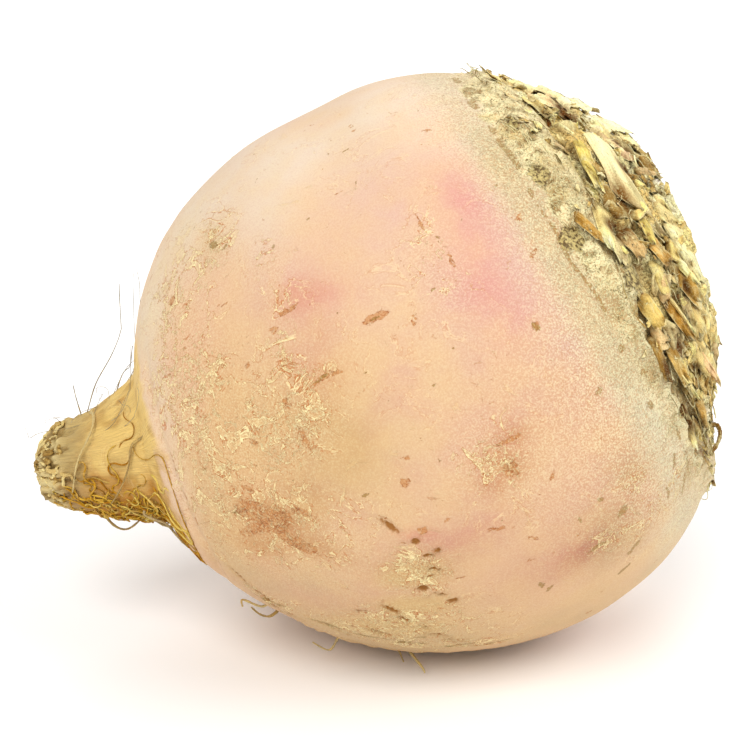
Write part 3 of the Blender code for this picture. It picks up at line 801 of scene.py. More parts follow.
def tailColour(skin, points):
    # ochre above and amber below, darker in blotches, with painted shade beside the body.
    # towards the tip it turns grey, and then it has pale knobs
    along, below = skin["along"], -np.cos(skin["angle"])
    low = smoothStep((0.30 + below + 0.35 * layeredNoise(points, 5, 3, 55)) / 0.9)
    tone = blend(np.zeros(points.shape) + 1.2 * paint(252, 214, 128), 1.05 * paint(206, 130, 4), low)
    blotches = smoothStep((layeredNoise(points, 3.4, 3, 54) - 0.05) / 0.5)
    tone = blend(tone, paint(206, 150, 56), blotches * 0.5)
    # painted shade on the lower side where the tail meets the body
    beside = smoothStep((along - 24) / 5) * smoothStep((0.5 + below) / 1.2)
    tone = blend(tone, paint(176, 108, 16), beside * 0.7)
    tone = blend(tone, paint(190, 170, 126), np.exp(-(((along - 9) / 3.5) ** 2)) * 0.6)
    knobs = smoothStep((layeredNoise(points, 2.4, 3, 23) + 0.15) / 0.5)
    tipTone = blend(np.zeros(points.shape) + paint(150, 120, 66), 1.15 * paint(250, 230, 168), knobs)
    return blend(tone, tipTone, (1 - smoothStep((along - 5) / 4)) * 0.9)


def speckles(points, cell, seed, low, spread):
    # 1 where a noise is high: it rises smoothly from 0 at the low value, over the spread
    return smoothStep((valueNoise(points, cell, seed) - low) / spread)


def skinTone(skin, points):
    # the base tone, each zone's tone by its ellipses, then the crown's cream and cork, the gap, painted
    # shade on the front, and the tail
    along, angle, degrees, mottle = skin["along"], skin["angle"], skin["degrees"], skin["mottle"]
    tone = np.zeros(points.shape) + paint(250, 204, 160)
    tone = blend(tone, paint(244, 186, 160), smoothStep((mottle - 0.05) / 0.6) * 0.6)
    for colour, strength, ellipses in toneZones:
        tone = blend(tone, colour, np.clip(blobs(skin, ellipses) * (1 + 0.45 * mottle), 0, 1) * strength)
    tone = blend(tone, paint(238, 228, 192), skin["nearCrown"] * 0.8)
    besideRim = smoothStep((along - 111) / 5) * smoothStep((degrees - 258) / 14)
    besideRim = besideRim * (1 - smoothStep((degrees - 322) / 20)) * (0.6 + 0.3 * mottle)
    tone = blend(tone, paint(222, 196, 144), besideRim)
    cork = skin["cork"]
    tone = blend(tone, 1.3 * paint(252, 238, 182), cork * 0.9)
    tone = blend(tone, paint(214, 178, 92), cork * speckles(points, 2.8, 53, 0.55, 0.25) * 0.6)
    tone = blend(tone, paint(250, 238, 178), cork * speckles(points, 1.2, 60, 0.55, 0.2) * 0.8)
    tone = blend(tone, paint(148, 118, 50), cork * speckles(points, 1.5, 59, 0.6, 0.16) * 0.85)
    tornRim = blobs(skin, rimPatches) * (1 + 0.8 * layeredNoise(points, 1.6, 3, 65))
    tone = blend(tone, paint(176, 146, 84), np.clip(tornRim, 0, 1) * 0.7)
    torn = smoothStep((layeredNoise(points, 2.0, 3, 62) + 0.05) / 0.3)
    gap = np.clip(creviceShare(skin) * 1.3, 0, 1)
    lip = np.clip(creviceShare(skin, 1.4) - creviceShare(skin), 0, 1)
    tone = blend(tone, paint(255, 246, 196), lip * 0.8)
    # the sunk gap: tan, and deep brown in torn patches as painted shade
    tone = blend(tone, paint(206, 172, 92), gap * 0.9)
    tone = blend(tone, paint(112, 50, 6), gap * torn * 0.85)
    crumbs = creviceShare(skin) * speckles(points, 0.9, 67, 0.6, 0.2)
    tone = blend(tone, paint(255, 246, 200), crumbs * 0.7)
    # painted shade: the front side, towards the camera and the key light, is darkened
    facing = np.exp(-((wrapped(angle - math.radians(285)) / 0.75) ** 2)) * smoothStep((along - 40) / 20)
    tone = tone * (1 - np.array([0.13, 0.09, 0.08]) * facing[..., None])
    return blend(tone, tailColour(skin, points), skin["tailShare"])


def skinMasks(skin, points):
    # the attributes that the skin's material reads: each mask is its marks' largest value, from 0 to 1
    along, cork, tailShare = skin["along"], skin["cork"], skin["tailShare"]
    sandy = 0.22 + 0.85 * smoothStep((along - 102) / 18) + 0.5 * skin["corky"]
    sandy = np.clip(sandy + 0.6 * blob(skin, 110, 262, 18, 26), 0, 1) * (1 - 0.7 * tailShare)
    grooveWidth = 0.55 + 0.4 * smoothStep((skin["degrees"] - 312) / 16)
    # darker along the groove under the crown
    grooveDarkening = 0.5 + 0.75 * smoothStep((layeredNoise(points, 3, 3, 51) + 0.5) / 0.6)
    grooveDarkening = grooveDarkening * grooveShare(skin, grooveWidth)
    stain = np.clip(blobs(skin, stainPatches + tinyMarks) * 1.25, 0, 1)
    stain = np.maximum(np.maximum(stain, grooveDarkening), cork * (0.34 + 0.6 * layeredNoise(points, 3, 2, 58)))
    peelEdge = np.exp(-(((along - skin["stripAlong"] - 0.9) / 0.5) ** 2)) * skin["stripShare"]
    peelEdge = peelEdge * smoothStep((layeredNoise(points, 5, 3, 66) + 0.12) / 0.3)
    rust = np.maximum(np.clip(blobs(skin, rustPatches) * 1.6, 0, 1), peelEdge)
    pits = np.clip(blobs(skin, pitPlaces) * 1.1, 0, 1)
    scar = np.clip(blobs(skin, scarPatches) * 1.3, 0, 1)
    corkZone = np.clip(cork * 1.1 + 0.34 * skin["nearCrown"], 0, 1)
    return dict(
        wear=np.stack([skin["corky"] * (1 - tailShare), sandy, stain], axis=-1),
        marks=np.stack([pits, rust, tailShare], axis=-1),
        zones=np.stack([corkZone, scar, 0 * scar], axis=-1),
    )


def addZones(skin, points):
    # where the root has its corky skin and its peeled strip, before any relief is put on it
    degrees = skin["degrees"]
    skin["mottle"] = layeredNoise(points, 16, 3, 41)
    skin["corky"] = np.clip(blobs(skin, corkyPatches) * (0.75 + 0.5 * skin["mottle"]), 0, 1)
    wander = 1.2 * np.sin(2 * skin["angle"] + 0.6) + 0.5 * layeredNoise(points, 9, 2, 45)
    skin["stripAlong"] = 32.2 + wander
    skin["stripShare"] = smoothStep((degrees - 205) / 20) * (1 - smoothStep((degrees - 318) / 20))


def addBorders(skin, points):
    # the shares of the cream band by the crown, of the crown's cork and of the tail, with uneven borders
    along, degrees = skin["along"], skin["degrees"]
    skin["nearCrown"] = smoothStep((along - 109) / 7) * (0.75 + 0.3 * skin["mottle"])
    inFront = 0.3 + 0.7 * smoothStep((degrees - 262) / 26)
    skin["cork"] = smoothStep((along - 118.0 - 2.6 * layeredNoise(points, 5, 3, 57)) / 2.6) * inFront
    onBack = smoothStep(np.cos(skin["angle"] - math.radians(80)) / 0.8)
    border = 28.4 - 2.4 * onBack - 1.5 * layeredNoise(points, 4, 3, 64)
    skin["tailShare"] = 1 - smoothStep((along - border) / (2.4 + 4.5 * onBack))


def makeSkin():
    # the profile turned round the bent line, with relief along the surface's own direction.
    # the flat spot that it rests on is cut at 0
    skin = skinGridPlaces()
    points = grown(skin["along"], skin["radius"], skin["angle"])
    addZones(skin, points)
    domeStart = rootShape["neckAlong"] + rootShape["collar"] + 0.01
    onSkin = smoothStep((domeStart - skin["along"]) / 0.8)
    points = points + normalsOf(points) * (skinRelief(skin, points) * onSkin)[..., None]
    points[..., 2] = np.maximum(points[..., 2], 0.0)
    addBorders(skin, points)
    uv = np.stack([skin["along"], skin["turn"] * skinGrid["uvRadius"]], axis=-1)
    uv = np.concatenate([uv, uv[:, :1] + [0, 2 * np.pi * skinGrid["uvRadius"]]], axis=1)
    part = gridPart(points, uv, dict(tone=skinTone(skin, points), **skinMasks(skin, points)))
    return makePiece("rootSkin", [part], skinMaterial, "root")


makeSkin()


def smoothRoute(places, steps):
    # Catmull and Rom's cubic through the places
    knots = np.array([places[0], *places, places[-1]], float)
    p0, p1, p2, p3 = knots[:-3], knots[1:-2], knots[2:-1], knots[3:]
    t = (np.arange(steps) / steps)[None, :, None]
    bend = (2 * p0 - 5 * p1 + 4 * p2 - p3)[:, None] * t**2 + (3 * p1 - p0 - 3 * p2 + p3)[:, None] * t**3
    route = p1[:, None] + ((p2 - p0)[:, None] * t + bend) / 2
    return np.concatenate([route.reshape(-1, 3), knots[-1:]])


tubeLook = dict(uneven=0.18, uvStep=0.6, uvSide=0.2)


def tubePart(path, radius, sides, tone, seed):
    # a round section of uneven size carried along a path, square to it, with closed ends
    rng = np.random.default_rng(seed)
    look = tubeLook
    ahead = np.gradient(path, axis=0)
    ahead /= np.linalg.norm(ahead, axis=-1, keepdims=True)
    side = np.cross(ahead, rng.normal(size=3))
    side /= np.maximum(np.linalg.norm(side, axis=-1, keepdims=True), 1e-6)
    up = np.cross(ahead, side)
    around = np.linspace(0, 2 * np.pi, sides, endpoint=False)[None, :, None]
    ring = np.cos(around) * side[:, None] + np.sin(around) * up[:, None]
    size = np.broadcast_to(radius, len(path))[:, None, None] * np.ones((1, sides, 1))
    size = size * (1 + look["uneven"] * rng.normal(size=(len(path), 1, 1)).clip(-1, 1))
    grid = path[:, None] + ring * size
    ends = [grid[row].mean(axis=0) + np.zeros((1, sides, 3)) for row in (0, -1)]
    grid = np.concatenate([ends[0], grid, ends[1]])
    length = np.arange(len(grid))[:, None] * look["uvStep"]
    across = np.arange(sides + 1)[None] * look["uvSide"]
    uv = np.stack(np.broadcast_arrays(length, across), axis=-1)
    return gridPart(grid, uv, dict(tone=np.zeros(grid.shape) + tone, wear=np.zeros(grid.shape)))


headGrid = dict(rings=128, topRings=30, sides=420, under=0.5, start=2.2, uvRadius=30)
# flat leaf scars that overlap like scales on the head, counted by the golden angle
scaleLook = dict(
    count=110, turn=137.5, width=(5.0, 10.5), length=(5.0, 10.0), rise=(0.2, 1.5), skew=0.5,
    tones=(
        1.15 * paint(255, 240, 186), 1.1 * paint(250, 228, 158), 1.2 * paint(255, 248, 206),
        1.1 * paint(238, 214, 146), paint(220, 190, 122),
    ),
)
# places where a leaf has rotted to dark grains (past the neck, degrees, half lengths)
grainScars = (
    (-2.6, 299, 3.0, 3.6), (2.6, 317, 2.4, 3.2), (2.6, 284, 3.0, 4.0), (-1.6, 315, 2.0, 2.2),
    (9.4, 304, 1.4, 2.4), (12.5, 110, 2.6, 4.0),
)
# deep holes between the leaf bases, sunk in and painted dark as shade
hollows = (
    (5.6, 297, 1.6, 1.6), (14.0, 337, 1.4, 2.2), (0.2, 262, 1.1, 1.8), (1.0, 256, 1.1, 1.8),
    (0.4, 250, 1.3, 2.4), (-0.8, 247, 1.2, 2.0), (1.8, 238, 1.2, 2.4), (8.1, 346, 1.2, 3.4),
    (9.6, 272, 1.0, 1.6), (8.6, 307, 1.0, 2.4), (2.4, 317, 1.2, 2.0), (4.2, 297, 1.0, 1.6),
    (5.6, 285, 0.9, 1.6), (12.6, 273, 0.9, 1.6), (5.2, 262, 1.0, 1.8), (7.0, 250, 1.0, 1.6),
    (11.8, 320, 0.9, 2.0), (4.4, 335, 0.9, 1.8), (5.0, 40, 1.6, 2.6), (10.0, 75, 1.6, 2.2),
    (4.0, 110, 1.4, 3.0), (12.0, 150, 1.6, 2.4), (6.0, 185, 1.6, 2.6), (12.2, 20, 1.0, 1.8),
)
# browner places on the head, and places with bare cork
brownSpots = (
    (8.5, 276, 3.2, 6.0), (11.5, 258, 4.4, 7.0), (3.4, 271, 2.6, 4.0), (9.0, 240, 4.0, 7.0),
    (4.6, 262, 2.6, 6.0), (9.5, 303, 1.6, 3.6), (6.0, 240, 4.0, 6.0), (3.0, 300, 1.4, 2.4),
    (9.0, 60, 4.0, 8.0), (7.0, 140, 4.0, 8.0),
)
bareSpots = (
    (15.0, 312, 2.4, 5.0), (3.0, 330, 2.0, 4.0), (1.0, 350, 2.0, 6.0), (14.0, 296, 1.8, 3.4),
    (14.0, 50, 2.0, 5.0), (4.0, 170, 2.0, 5.0),
)
# the share of a step over the cone's face that goes along the centre line
coneShare = headShape["height"] / math.hypot(headShape["height"], neckRadius - headShape["topRadius"])


def headSkin(past, height, angle):
    # a point over the neck's skin or the head's cone by a height
    along = rootShape["neckAlong"] + past
    return grown(along, skinRadius(along) + height, angle)


def pressUnderKnife(points, proud):
    # what lies past the knife's plane is pressed back on it, or just over it
    top = rootShape["neckAlong"] + headShape["height"]
    middle = place(top, 0.0, 0.0)
    up, side = place(top, 1.0, 0.0) - middle, place(top, 1.0, math.pi / 2) - middle
    ahead = np.cross(side, up)
    over = (points - middle) @ ahead - proud
    return points - np.maximum(over, 0)[..., None] * ahead


def spotShare(past, angle, spots):
    # 1 in the middle of the nearest spot, falling off by its half lengths
    total = 0
    for at, degrees, halfAlong, halfRound in spots:
        aside = wrapped(angle - math.radians(degrees)) * headShape["meanRadius"]
        total = np.maximum(total, np.exp(-(((past - at) / halfAlong) ** 2) - (aside / halfRound) ** 2))
    return total


def browned(tone, past, angle):
    # darker and browner in the brown spots
    return tone * (1 - 0.28 * spotShare(past, angle, brownSpots)[..., None] * np.array([0.8, 1.0, 1.3]))


def scales(past, angle, points):
    # the highest of many tongues: each rises from its start to a free torn edge, where it drops
    look = scaleLook
    rng = np.random.default_rng(11)
    rough = layeredNoise(points, 2.6, 3, 75)
    height = np.zeros(past.shape)
    tone = np.zeros((*past.shape, 3)) + look["tones"][0]
    for number in range(look["count"]):
        start = -2.0 + (headShape["height"] - 1.0) * ((number + 0.5) / look["count"])
        middle = math.radians(look["turn"]) * number + rng.uniform(-0.15, 0.15)
        length, width = rng.uniform(*look["length"]), rng.uniform(*look["width"])
        skew = rng.uniform(-look["skew"], look["skew"])
        rise = rng.uniform(*look["rise"])
        colour = look["tones"][rng.integers(len(look["tones"]))] * rng.uniform(0.8, 1.1)
        ahead = (past - start) / length
        aside = 2 * (wrapped(angle - middle) * headShape["meanRadius"] - skew * (past - start)) / width
        outline = aside**2 + np.clip((ahead - 0.45) / 0.55, 0, 3) ** 2
        outline = outline + np.clip(-ahead, 0, 1) * 6 + 0.42 * rough
        inside = 1 - smoothStep((outline - 0.78) / 0.16)
        tongue = rise * (0.25 + 0.75 * np.clip(ahead, 0, 1)) + 0.35 * (1 - np.clip(aside, -1, 1) ** 2)
        tongue = inside * (tongue + 0.10 * np.sin(aside * 9 + number))
        higher = tongue > height
        height = np.where(higher, tongue, height)
        # pale towards each tongue's edge, partly painted highlight
        edged = blend(colour, paint(244, 232, 188), smoothStep((outline - 0.5) / 0.25) * 0.5)
        tone = np.where(higher[..., None], edged, tone)
    return height, tone


def makeHeadCore():
    # rows run up the cone's side and then inwards over the cut.
    # the side has scales, creases, scars and holes, and the cut has fine growth rings
    g, height = headGrid, headShape["height"]
    sidePast = g["start"] + (height - g["start"]) * np.linspace(0, 1, g["rings"])
    inward = np.linspace(1, 0, g["topRings"] + 1)[1:]
    past = np.concatenate([[5.5, 3.6], sidePast, np.full(len(inward), height)])[:, None]
    topRadius = (headShape["topRadius"] - g["under"]) * inward
    radius = np.concatenate([[0.0, neckRadius - 6], headRadius(sidePast) - g["under"], topRadius])[:, None]
    angle = np.arange(g["sides"])[None] / g["sides"] * 2 * np.pi
    past, radius, angle = np.broadcast_arrays(past, radius, angle)
    points = grown(rootShape["neckAlong"] + past, radius, angle)
    rows = np.arange(len(past))[:, None]
    onSide = smoothStep((rows - 3) / 5) * (1 - smoothStep((rows - g["rings"]) / 3))
    onTop = smoothStep((rows - g["rings"] - 2) / 4)
    lumps, fine = layeredNoise(points, 5.0, 3, 61), layeredNoise(points, 1.3, 3, 67)
    creases = 1 - 2 * abs(layeredNoise(points, 2.2, 3, 69))
    ringed = np.sin(radius * 2.6 + 2.0 * layeredNoise(points, 8, 2, 71))
    scaleHeight, scaleTone = scales(past, angle, points)
    scars, holes = spotShare(past, angle, grainScars), spotShare(past, angle, hollows)
    grains = smoothStep((layeredNoise(points, 1.1, 2, 73) + 0.1) / 0.4)
    shape = scaleHeight - 0.9 + 0.6 * lumps + 0.3 * fine + 0.45 * creases
    shape = shape * (1 - 0.8 * scars) + scars * (0.5 * grains - 0.3) - holes * (1.8 + 0.5 * fine)
    points = points + normalsOf(points) * (onSide * shape + onTop * 0.10 * (fine + ringed))[..., None]
    points = pressUnderKnife(points, 0.25)
    # where the side lies low, and in the holes: the share of painted shade
    low = np.clip(smoothStep((-0.45 - shape) / 0.9) + holes, 0, 1) * onSide
    tone = browned(np.minimum(scaleTone * (1.42 + 0.25 * fine)[..., None], 0.97), past, angle)
    # painted shade: darker in the crease valleys, and deep brown where the side lies low and in the holes
    tone = blend(tone, paint(160, 118, 48), smoothStep((0.1 - creases) / 0.5) * 0.5 * onSide)
    tone = blend(tone, paint(110, 64, 10), low * 0.8)
    grainTone = paint(226, 204, 146) * (0.35 + 0.75 * grains)[..., None]
    tone = blend(tone, grainTone, np.clip(scars * 1.6, 0, 1) * 0.9)
    tone = blend(tone, paint(244, 224, 182), onTop * 0.9)
    tone = blend(tone, paint(206, 172, 112), onTop * smoothStep((ringed - 0.3) / 0.6) * 0.5)
    # the wear's second share darkens the holes as painted shade
    wear = np.stack([0.9 + 0 * lumps, 0.35 * holes, 0.25 + 0.75 * onSide + 0 * lumps], axis=-1)
    uv = np.stack([past + radius * onTop, angle * g["uvRadius"]], axis=-1)
    uv = np.concatenate([uv, uv[:, :1] + [0, 2 * np.pi * g["uvRadius"]]], axis=1)
    part = gridPart(points, uv, dict(tone=tone, wear=wear))
    return makePiece("headCore", [part], coreMaterial, "leaf_bases")


makeHeadCore()

# inside is the colour of painted shade, the hole's colour is painted shadow, and paleEdge is partly painted
# highlight
strapLook = dict(
    paleEdge=1.15 * paint(255, 250, 204), inside=paint(134, 84, 8), holeShadow=paint(88, 42, 6),
    tones=(
        paint(250, 236, 178), paint(236, 214, 142), paint(250, 242, 196), paint(214, 188, 118),
        paint(232, 210, 134), paint(176, 146, 84), paint(246, 228, 164), paint(150, 122, 66),
        paint(216, 204, 160), paint(228, 202, 156),
    ),
)


def strap(
    at, heading, length, width, tone, seed, thickness=0.5, arch=0.8, rise=0.4, lift=0.8, curl=0.3, torn=0.35,
    wave=0.4, fold=0.4, grimeAndShade=0.35, flare=-0.3, ending=0.0, crumple=0.7, size=(24, 32),
):
    # a closed flat tube: one parameter runs along it, the other round its section, outer face first.
    # it starts at a place past the neck and runs over the head by its heading: 0 is to the cut, 90 is round.
    # the section is a squashed ellipse, arched and ribbed, with curled edges; the end is torn
    rng = np.random.default_rng(seed)
    share = np.linspace(0, 1, size[0])[:, None]
    around = np.linspace(0, 2 * np.pi, size[1], endpoint=False)[None]
    across = np.sign(np.cos(around)) * np.abs(np.cos(around)) ** 0.75
    face = np.sign(np.sin(around)) * np.abs(np.sin(around)) ** 0.6
    phase = rng.uniform(0, 6.28, 6)
    ragged = np.interp(across, np.linspace(-1, 1, 9), rng.random(9))
    reach = length * share * (1 - torn * share**2 * ragged)
    narrowing = 1 + flare * share**2 - 0.3 * (1 - smoothStep(share / 0.25))
    narrowing = narrowing + 0.10 * np.sin(share * 9 + phase[2]) * share
    aside = across * width / 2 * narrowing + 0.12 * width * np.sin(share * 2.4 + phase[3]) * share
    c, s = math.cos(math.radians(heading)), math.sin(math.radians(heading))
    past = at[0] + coneShare * (reach * c - aside * s)
    angle = math.radians(at[1]) + (reach * s + aside * c) / np.clip(headRadius(past), 20, 60)

    # the height over the head, added up: start sunk in, rising end, arch, curl, wave, fold, hole and crumple
    folded = abs(np.sin(across * rng.uniform(1.6, 3.4) + phase[4] + share * rng.uniform(-1.2, 1.2)))
    ribs = 0.06 * np.cos(across * 10 + phase[5])
    thin = thickness * (1 - 0.5 * share) * np.clip(8 * (1.01 - share), 0.1, 1) / 2
    height = rise - (rise + 1.4) * (1 - smoothStep(share / 0.28)) + lift * share**1.7
    height = height + arch * (0.5 - across**2) * (1 - 0.4 * share)
    height = height + curl * across * abs(across) * share * 1.6
    height = height + wave * np.sin(share * 6 + phase[0] + 2.2 * across) * share
    height = height + fold * (folded - 0.6) * smoothStep(share / 0.15)
    sunk = spotShare(past, angle, hollows)
    height = height - 1.6 * sunk
    rumpled = np.stack(np.broadcast_arrays(reach, across * width / 2, 7.0 * seed), axis=-1)
    crumpled = layeredNoise(rumpled, 1.6, 3, seed)
    height = height + face * thin + ribs * (face > 0) * smoothStep(share / 0.2) + crumple * crumpled
    points = pressUnderKnife(headSkin(past, height, angle), rng.uniform(0.0, 0.35))

    # painted shade low down, in folds, in the arch's channel and on the inner face; painted light where it
    # stands high and on crumpled ridges; pale torn edges, partly painted highlight; painted shadow in the
    # holes
    edge = np.maximum(smoothStep((abs(across) - 0.86) / 0.14), smoothStep((share - 0.9) / 0.1))
    colour = np.zeros(points.shape) + tone * rng.uniform(1.35, 1.8)
    low = 1 - smoothStep((height - 0.1) / 1.3)
    low = np.maximum(low, (1 - smoothStep(folded / 0.4)) * min(fold, 0.9))
    colour = blend(colour, strapLook["inside"], np.clip(np.maximum(low * 0.45, (face < -0.3) * 0.6), 0, 1))
    # painted light: paler where the strap stands high and on its crumpled ridges
    colour = colour * (1 + 0.16 * smoothStep((height - 1.3) / 1.2) + crumple * 0.5 * crumpled)[..., None]
    colour = browned(colour, past, angle)
    channel = np.clip(-arch / 2.2, 0, 1) * (1 - across**2) * smoothStep(face + 0.5)
    colour = blend(colour, strapLook["inside"], channel * 0.7 + 0 * share)
    colour = blend(colour, strapLook["paleEdge"], edge * smoothStep((share - 0.15) / 0.2) * 0.8)
    colour = np.minimum(blend(colour, strapLook["holeShadow"], np.clip(1.3 * sunk, 0, 1)), 0.95)
    # darker at the base, where it runs under its neighbours, as painted shade; grime at some torn ends, and
    # a darker end where ending is given
    dirtyEnd = 0.4 * smoothStep((share - 0.93) / 0.07) * (rng.random() < 0.35)
    dirtAndShade = grimeAndShade * (1 - smoothStep(share / 0.35)) + dirtyEnd
    dirtAndShade = dirtAndShade + ending * smoothStep((share - 0.55 - 0.15 * np.sin(across * 7 + phase[1])) / 0.3)
    wear = np.clip(np.stack(np.broadcast_arrays(0.25 + 0 * past, dirtAndShade, 0 * face), axis=-1), 0, 1)
    alongMap, acrossMap = reach + 40 * rng.random(), across * width / 2 + 90 * rng.random()
    uv = np.stack(np.broadcast_arrays(alongMap, acrossMap), axis=-1)
    uv = np.concatenate([uv, uv[:, :1]], axis=1)
    return gridPart(points, uv, dict(tone=colour, wear=wear))


def headingBetween(start, finish):
    # the heading and length of the straight step over the head's face from one place to the other
    ahead = (finish[0] - start[0]) / coneShare
    across = math.radians(finish[1] - start[1]) * headRadius((start[0] + finish[0]) / 2)
    return math.degrees(math.atan2(across, ahead)), math.hypot(ahead, across)


# leaf bases that stand out: start and end (past the neck, degrees), width, tone, and how each one is bent
largeStraps = (
    ((9.8, 339), (9.8, 301), 6.0, paint(255, 240, 190), dict(
        thickness=1.0, arch=1.4, rise=1.7, lift=0.1, curl=0.1, torn=0.1, wave=0.1, fold=0.1, grimeAndShade=0,
        flare=0.4, ending=0.5, crumple=0.1,
    )),
    ((7.4, 331), (5.0, 305), 3.8, paint(200, 182, 100), dict(
        arch=0.8, rise=0.9, lift=0.2, torn=0.3, fold=0.2, grimeAndShade=0.1,
    )),
    ((2.6, 355), (11.2, 365), 7.3, paint(252, 230, 176), dict(
        thickness=0.5, arch=0.4, rise=1.3, lift=1.4, curl=-0.3, torn=0.35, wave=0.3, fold=0.3, grimeAndShade=0,
    )),
    ((3.6, 345), (9.0, 351), 4.9, paint(248, 214, 168), dict(
        arch=0.7, rise=0.9, lift=1.0, torn=0.3, fold=0.2, grimeAndShade=0.1,
    )),
    ((7.2, 353), (13.8, 367), 6.2, paint(250, 238, 196), dict(
        thickness=0.4, arch=0.3, rise=1.3, lift=2.0, curl=-0.3, torn=0.2, wave=0.2, fold=0.2, grimeAndShade=0,
        flare=0.1,
    )),
    ((11.0, 347), (17.8, 362), 7.3, paint(255, 246, 200), dict(
        thickness=0.4, arch=0.3, rise=1.2, lift=1.8, curl=-0.4, torn=0.15, wave=0.2, fold=0.2, grimeAndShade=0,
        flare=0.2,
    )),
    ((13.6, 346), (18.2, 352), 4.6, paint(250, 236, 180), dict(arch=0.4, rise=1.0, lift=1.0, torn=0.4)),
    ((11.8, 334), (14.8, 327), 5.1, paint(248, 214, 176), dict(
        arch=0.4, rise=0.7, lift=0.6, torn=0.3, grimeAndShade=0,
    )),
    ((-0.6, 303), (1.8, 292), 3.5, paint(186, 142, 66), dict(
        arch=1.0, rise=0.9, lift=0.8, torn=0.3, fold=0.6,
    )),
    ((4.2, 305), (2.0, 289), 4.3, paint(255, 242, 176), dict(
        arch=1.2, rise=1.2, lift=0.8, torn=0.3, fold=0.5,
    )),
    ((5.2, 297), (7.2, 286), 5.7, paint(198, 168, 118), dict(arch=0.8, rise=0.7, lift=0.3, torn=0.3)),
    ((10.2, 301), (10.0, 289), 3.5, paint(226, 206, 118), dict(arch=0.9, rise=1.1, lift=0.6, torn=0.3)),
    ((9.4, 293), (11.4, 282), 4.6, paint(204, 164, 94), dict(
        arch=0.9, rise=1.2, lift=1.0, curl=0.4, torn=0.3, ending=0.6,
    )),
    ((8.6, 286), (7.2, 275), 4.9, paint(236, 222, 150), dict(
        thickness=0.8, arch=0.7, rise=1.0, lift=0.0, torn=0.1, wave=0.1, fold=0.0, grimeAndShade=0,
    )),
    ((11.4, 281), (15.2, 264), 5.9, paint(196, 158, 78), dict(
        arch=-1.0, rise=1.4, lift=1.2, curl=0.5, torn=0.3, fold=0.8,
    )),
    ((12.6, 283), (15.8, 270), 3.0, paint(250, 232, 160), dict(arch=0.9, rise=1.7, lift=0.8, torn=0.4)),
    ((15.0, 303), (16.2, 264), 6.2, paint(252, 240, 184), dict(
        arch=0.7, rise=0.7, lift=0.2, torn=0.3, wave=0.2, grimeAndShade=0,
    )),
    ((2.4, 279), (4.2, 269), 6.2, paint(226, 200, 120), dict(
        arch=1.4, rise=1.2, lift=0.8, curl=0.5, torn=0.3,
    )),
    ((6.6, 276), (9.4, 258), 4.1, paint(188, 144, 62), dict(
        arch=-0.9, rise=1.6, lift=1.0, curl=0.6, torn=0.3,
    )),
    ((7.4, 277), (10.2, 259), 1.4, paint(255, 242, 180), dict(
        arch=0.5, rise=2.2, lift=0.8, torn=0.3, grimeAndShade=0,
    )),
    ((11.4, 268), (17.4, 232), 8.9, paint(226, 208, 146), dict(
        arch=0.9, rise=0.9, lift=0.2, torn=0.2, wave=0.3,
    )),
    ((8.6, 258), (12.6, 228), 8.1, paint(212, 194, 136), dict(arch=1.0, rise=1.2, lift=0.6, torn=0.25)),
    ((9.0, 254), (14.0, 224), 3.2, paint(226, 190, 150), dict(
        arch=0.9, rise=2.0, lift=1.4, curl=0.8, torn=0.3, grimeAndShade=0,
    )),
    ((0.6, 270), (-0.6, 259), 4.1, paint(184, 146, 74), dict(
        arch=1.2, rise=1.4, lift=0.8, torn=0.3, fold=0.7,
    )),
    ((3.2, 266), (2.6, 250), 4.9, paint(206, 172, 96), dict(
        arch=-1.2, rise=1.4, lift=1.0, torn=0.4, fold=0.8,
    )),
    ((1.6, 262), (4.6, 246), 1.6, paint(255, 240, 176), dict(
        arch=0.5, rise=1.8, lift=1.0, torn=0.4, grimeAndShade=0,
    )),
    ((0.2, 249), (-2.0, 239), 1.8, paint(250, 236, 176), dict(
        arch=0.5, rise=1.2, lift=0.2, torn=0.3, grimeAndShade=0,
    )),
    ((4.6, 246), (2.6, 236), 5.4, paint(180, 146, 82), dict(
        thickness=1.2, arch=1.3, rise=1.4, lift=0.4, torn=0.2, fold=0.3,
    )),
)
fibreLook = dict(
    count=620, steps=9, sides=4, radius=(0.06, 0.15), height=(0.8, 2.2), reach=(2.0, 7.0), bend=0.9,
    turnRadius=34, paleShare=0.6,
)
randomStraps = dict(
    count=180, turn=137.5, width=(2.2, 8.4), length=(4.0, 11.0), thickness=(0.35, 0.6), heading=40.0,
    size=(18, 22), front=(232, 356), frontHeading=-40,
)
shreds = dict(count=560, width=(0.4, 1.8), length=(1.5, 5.0), thickness=0.26, lift=(0.0, 1.6), size=(9, 10))
# a dry stalk bent to a loop (past the neck, degrees, height over the head)
loopPlaces = (
    (5.4, 227, 0.2), (7.0, 227, 3.0), (6.8, 227, 4.4), (5.2, 227, 3.8), (2.8, 227, 1.8), (1.3, 227, 0.2),
)
loopLook = dict(radius=0.45, sides=8, steps=7, tone=paint(120, 86, 36))


def inSpot(past, degrees, spots):
    # whether a place is well inside one of the spots
    return spotShare(past, math.radians(degrees), spots) > 0.4


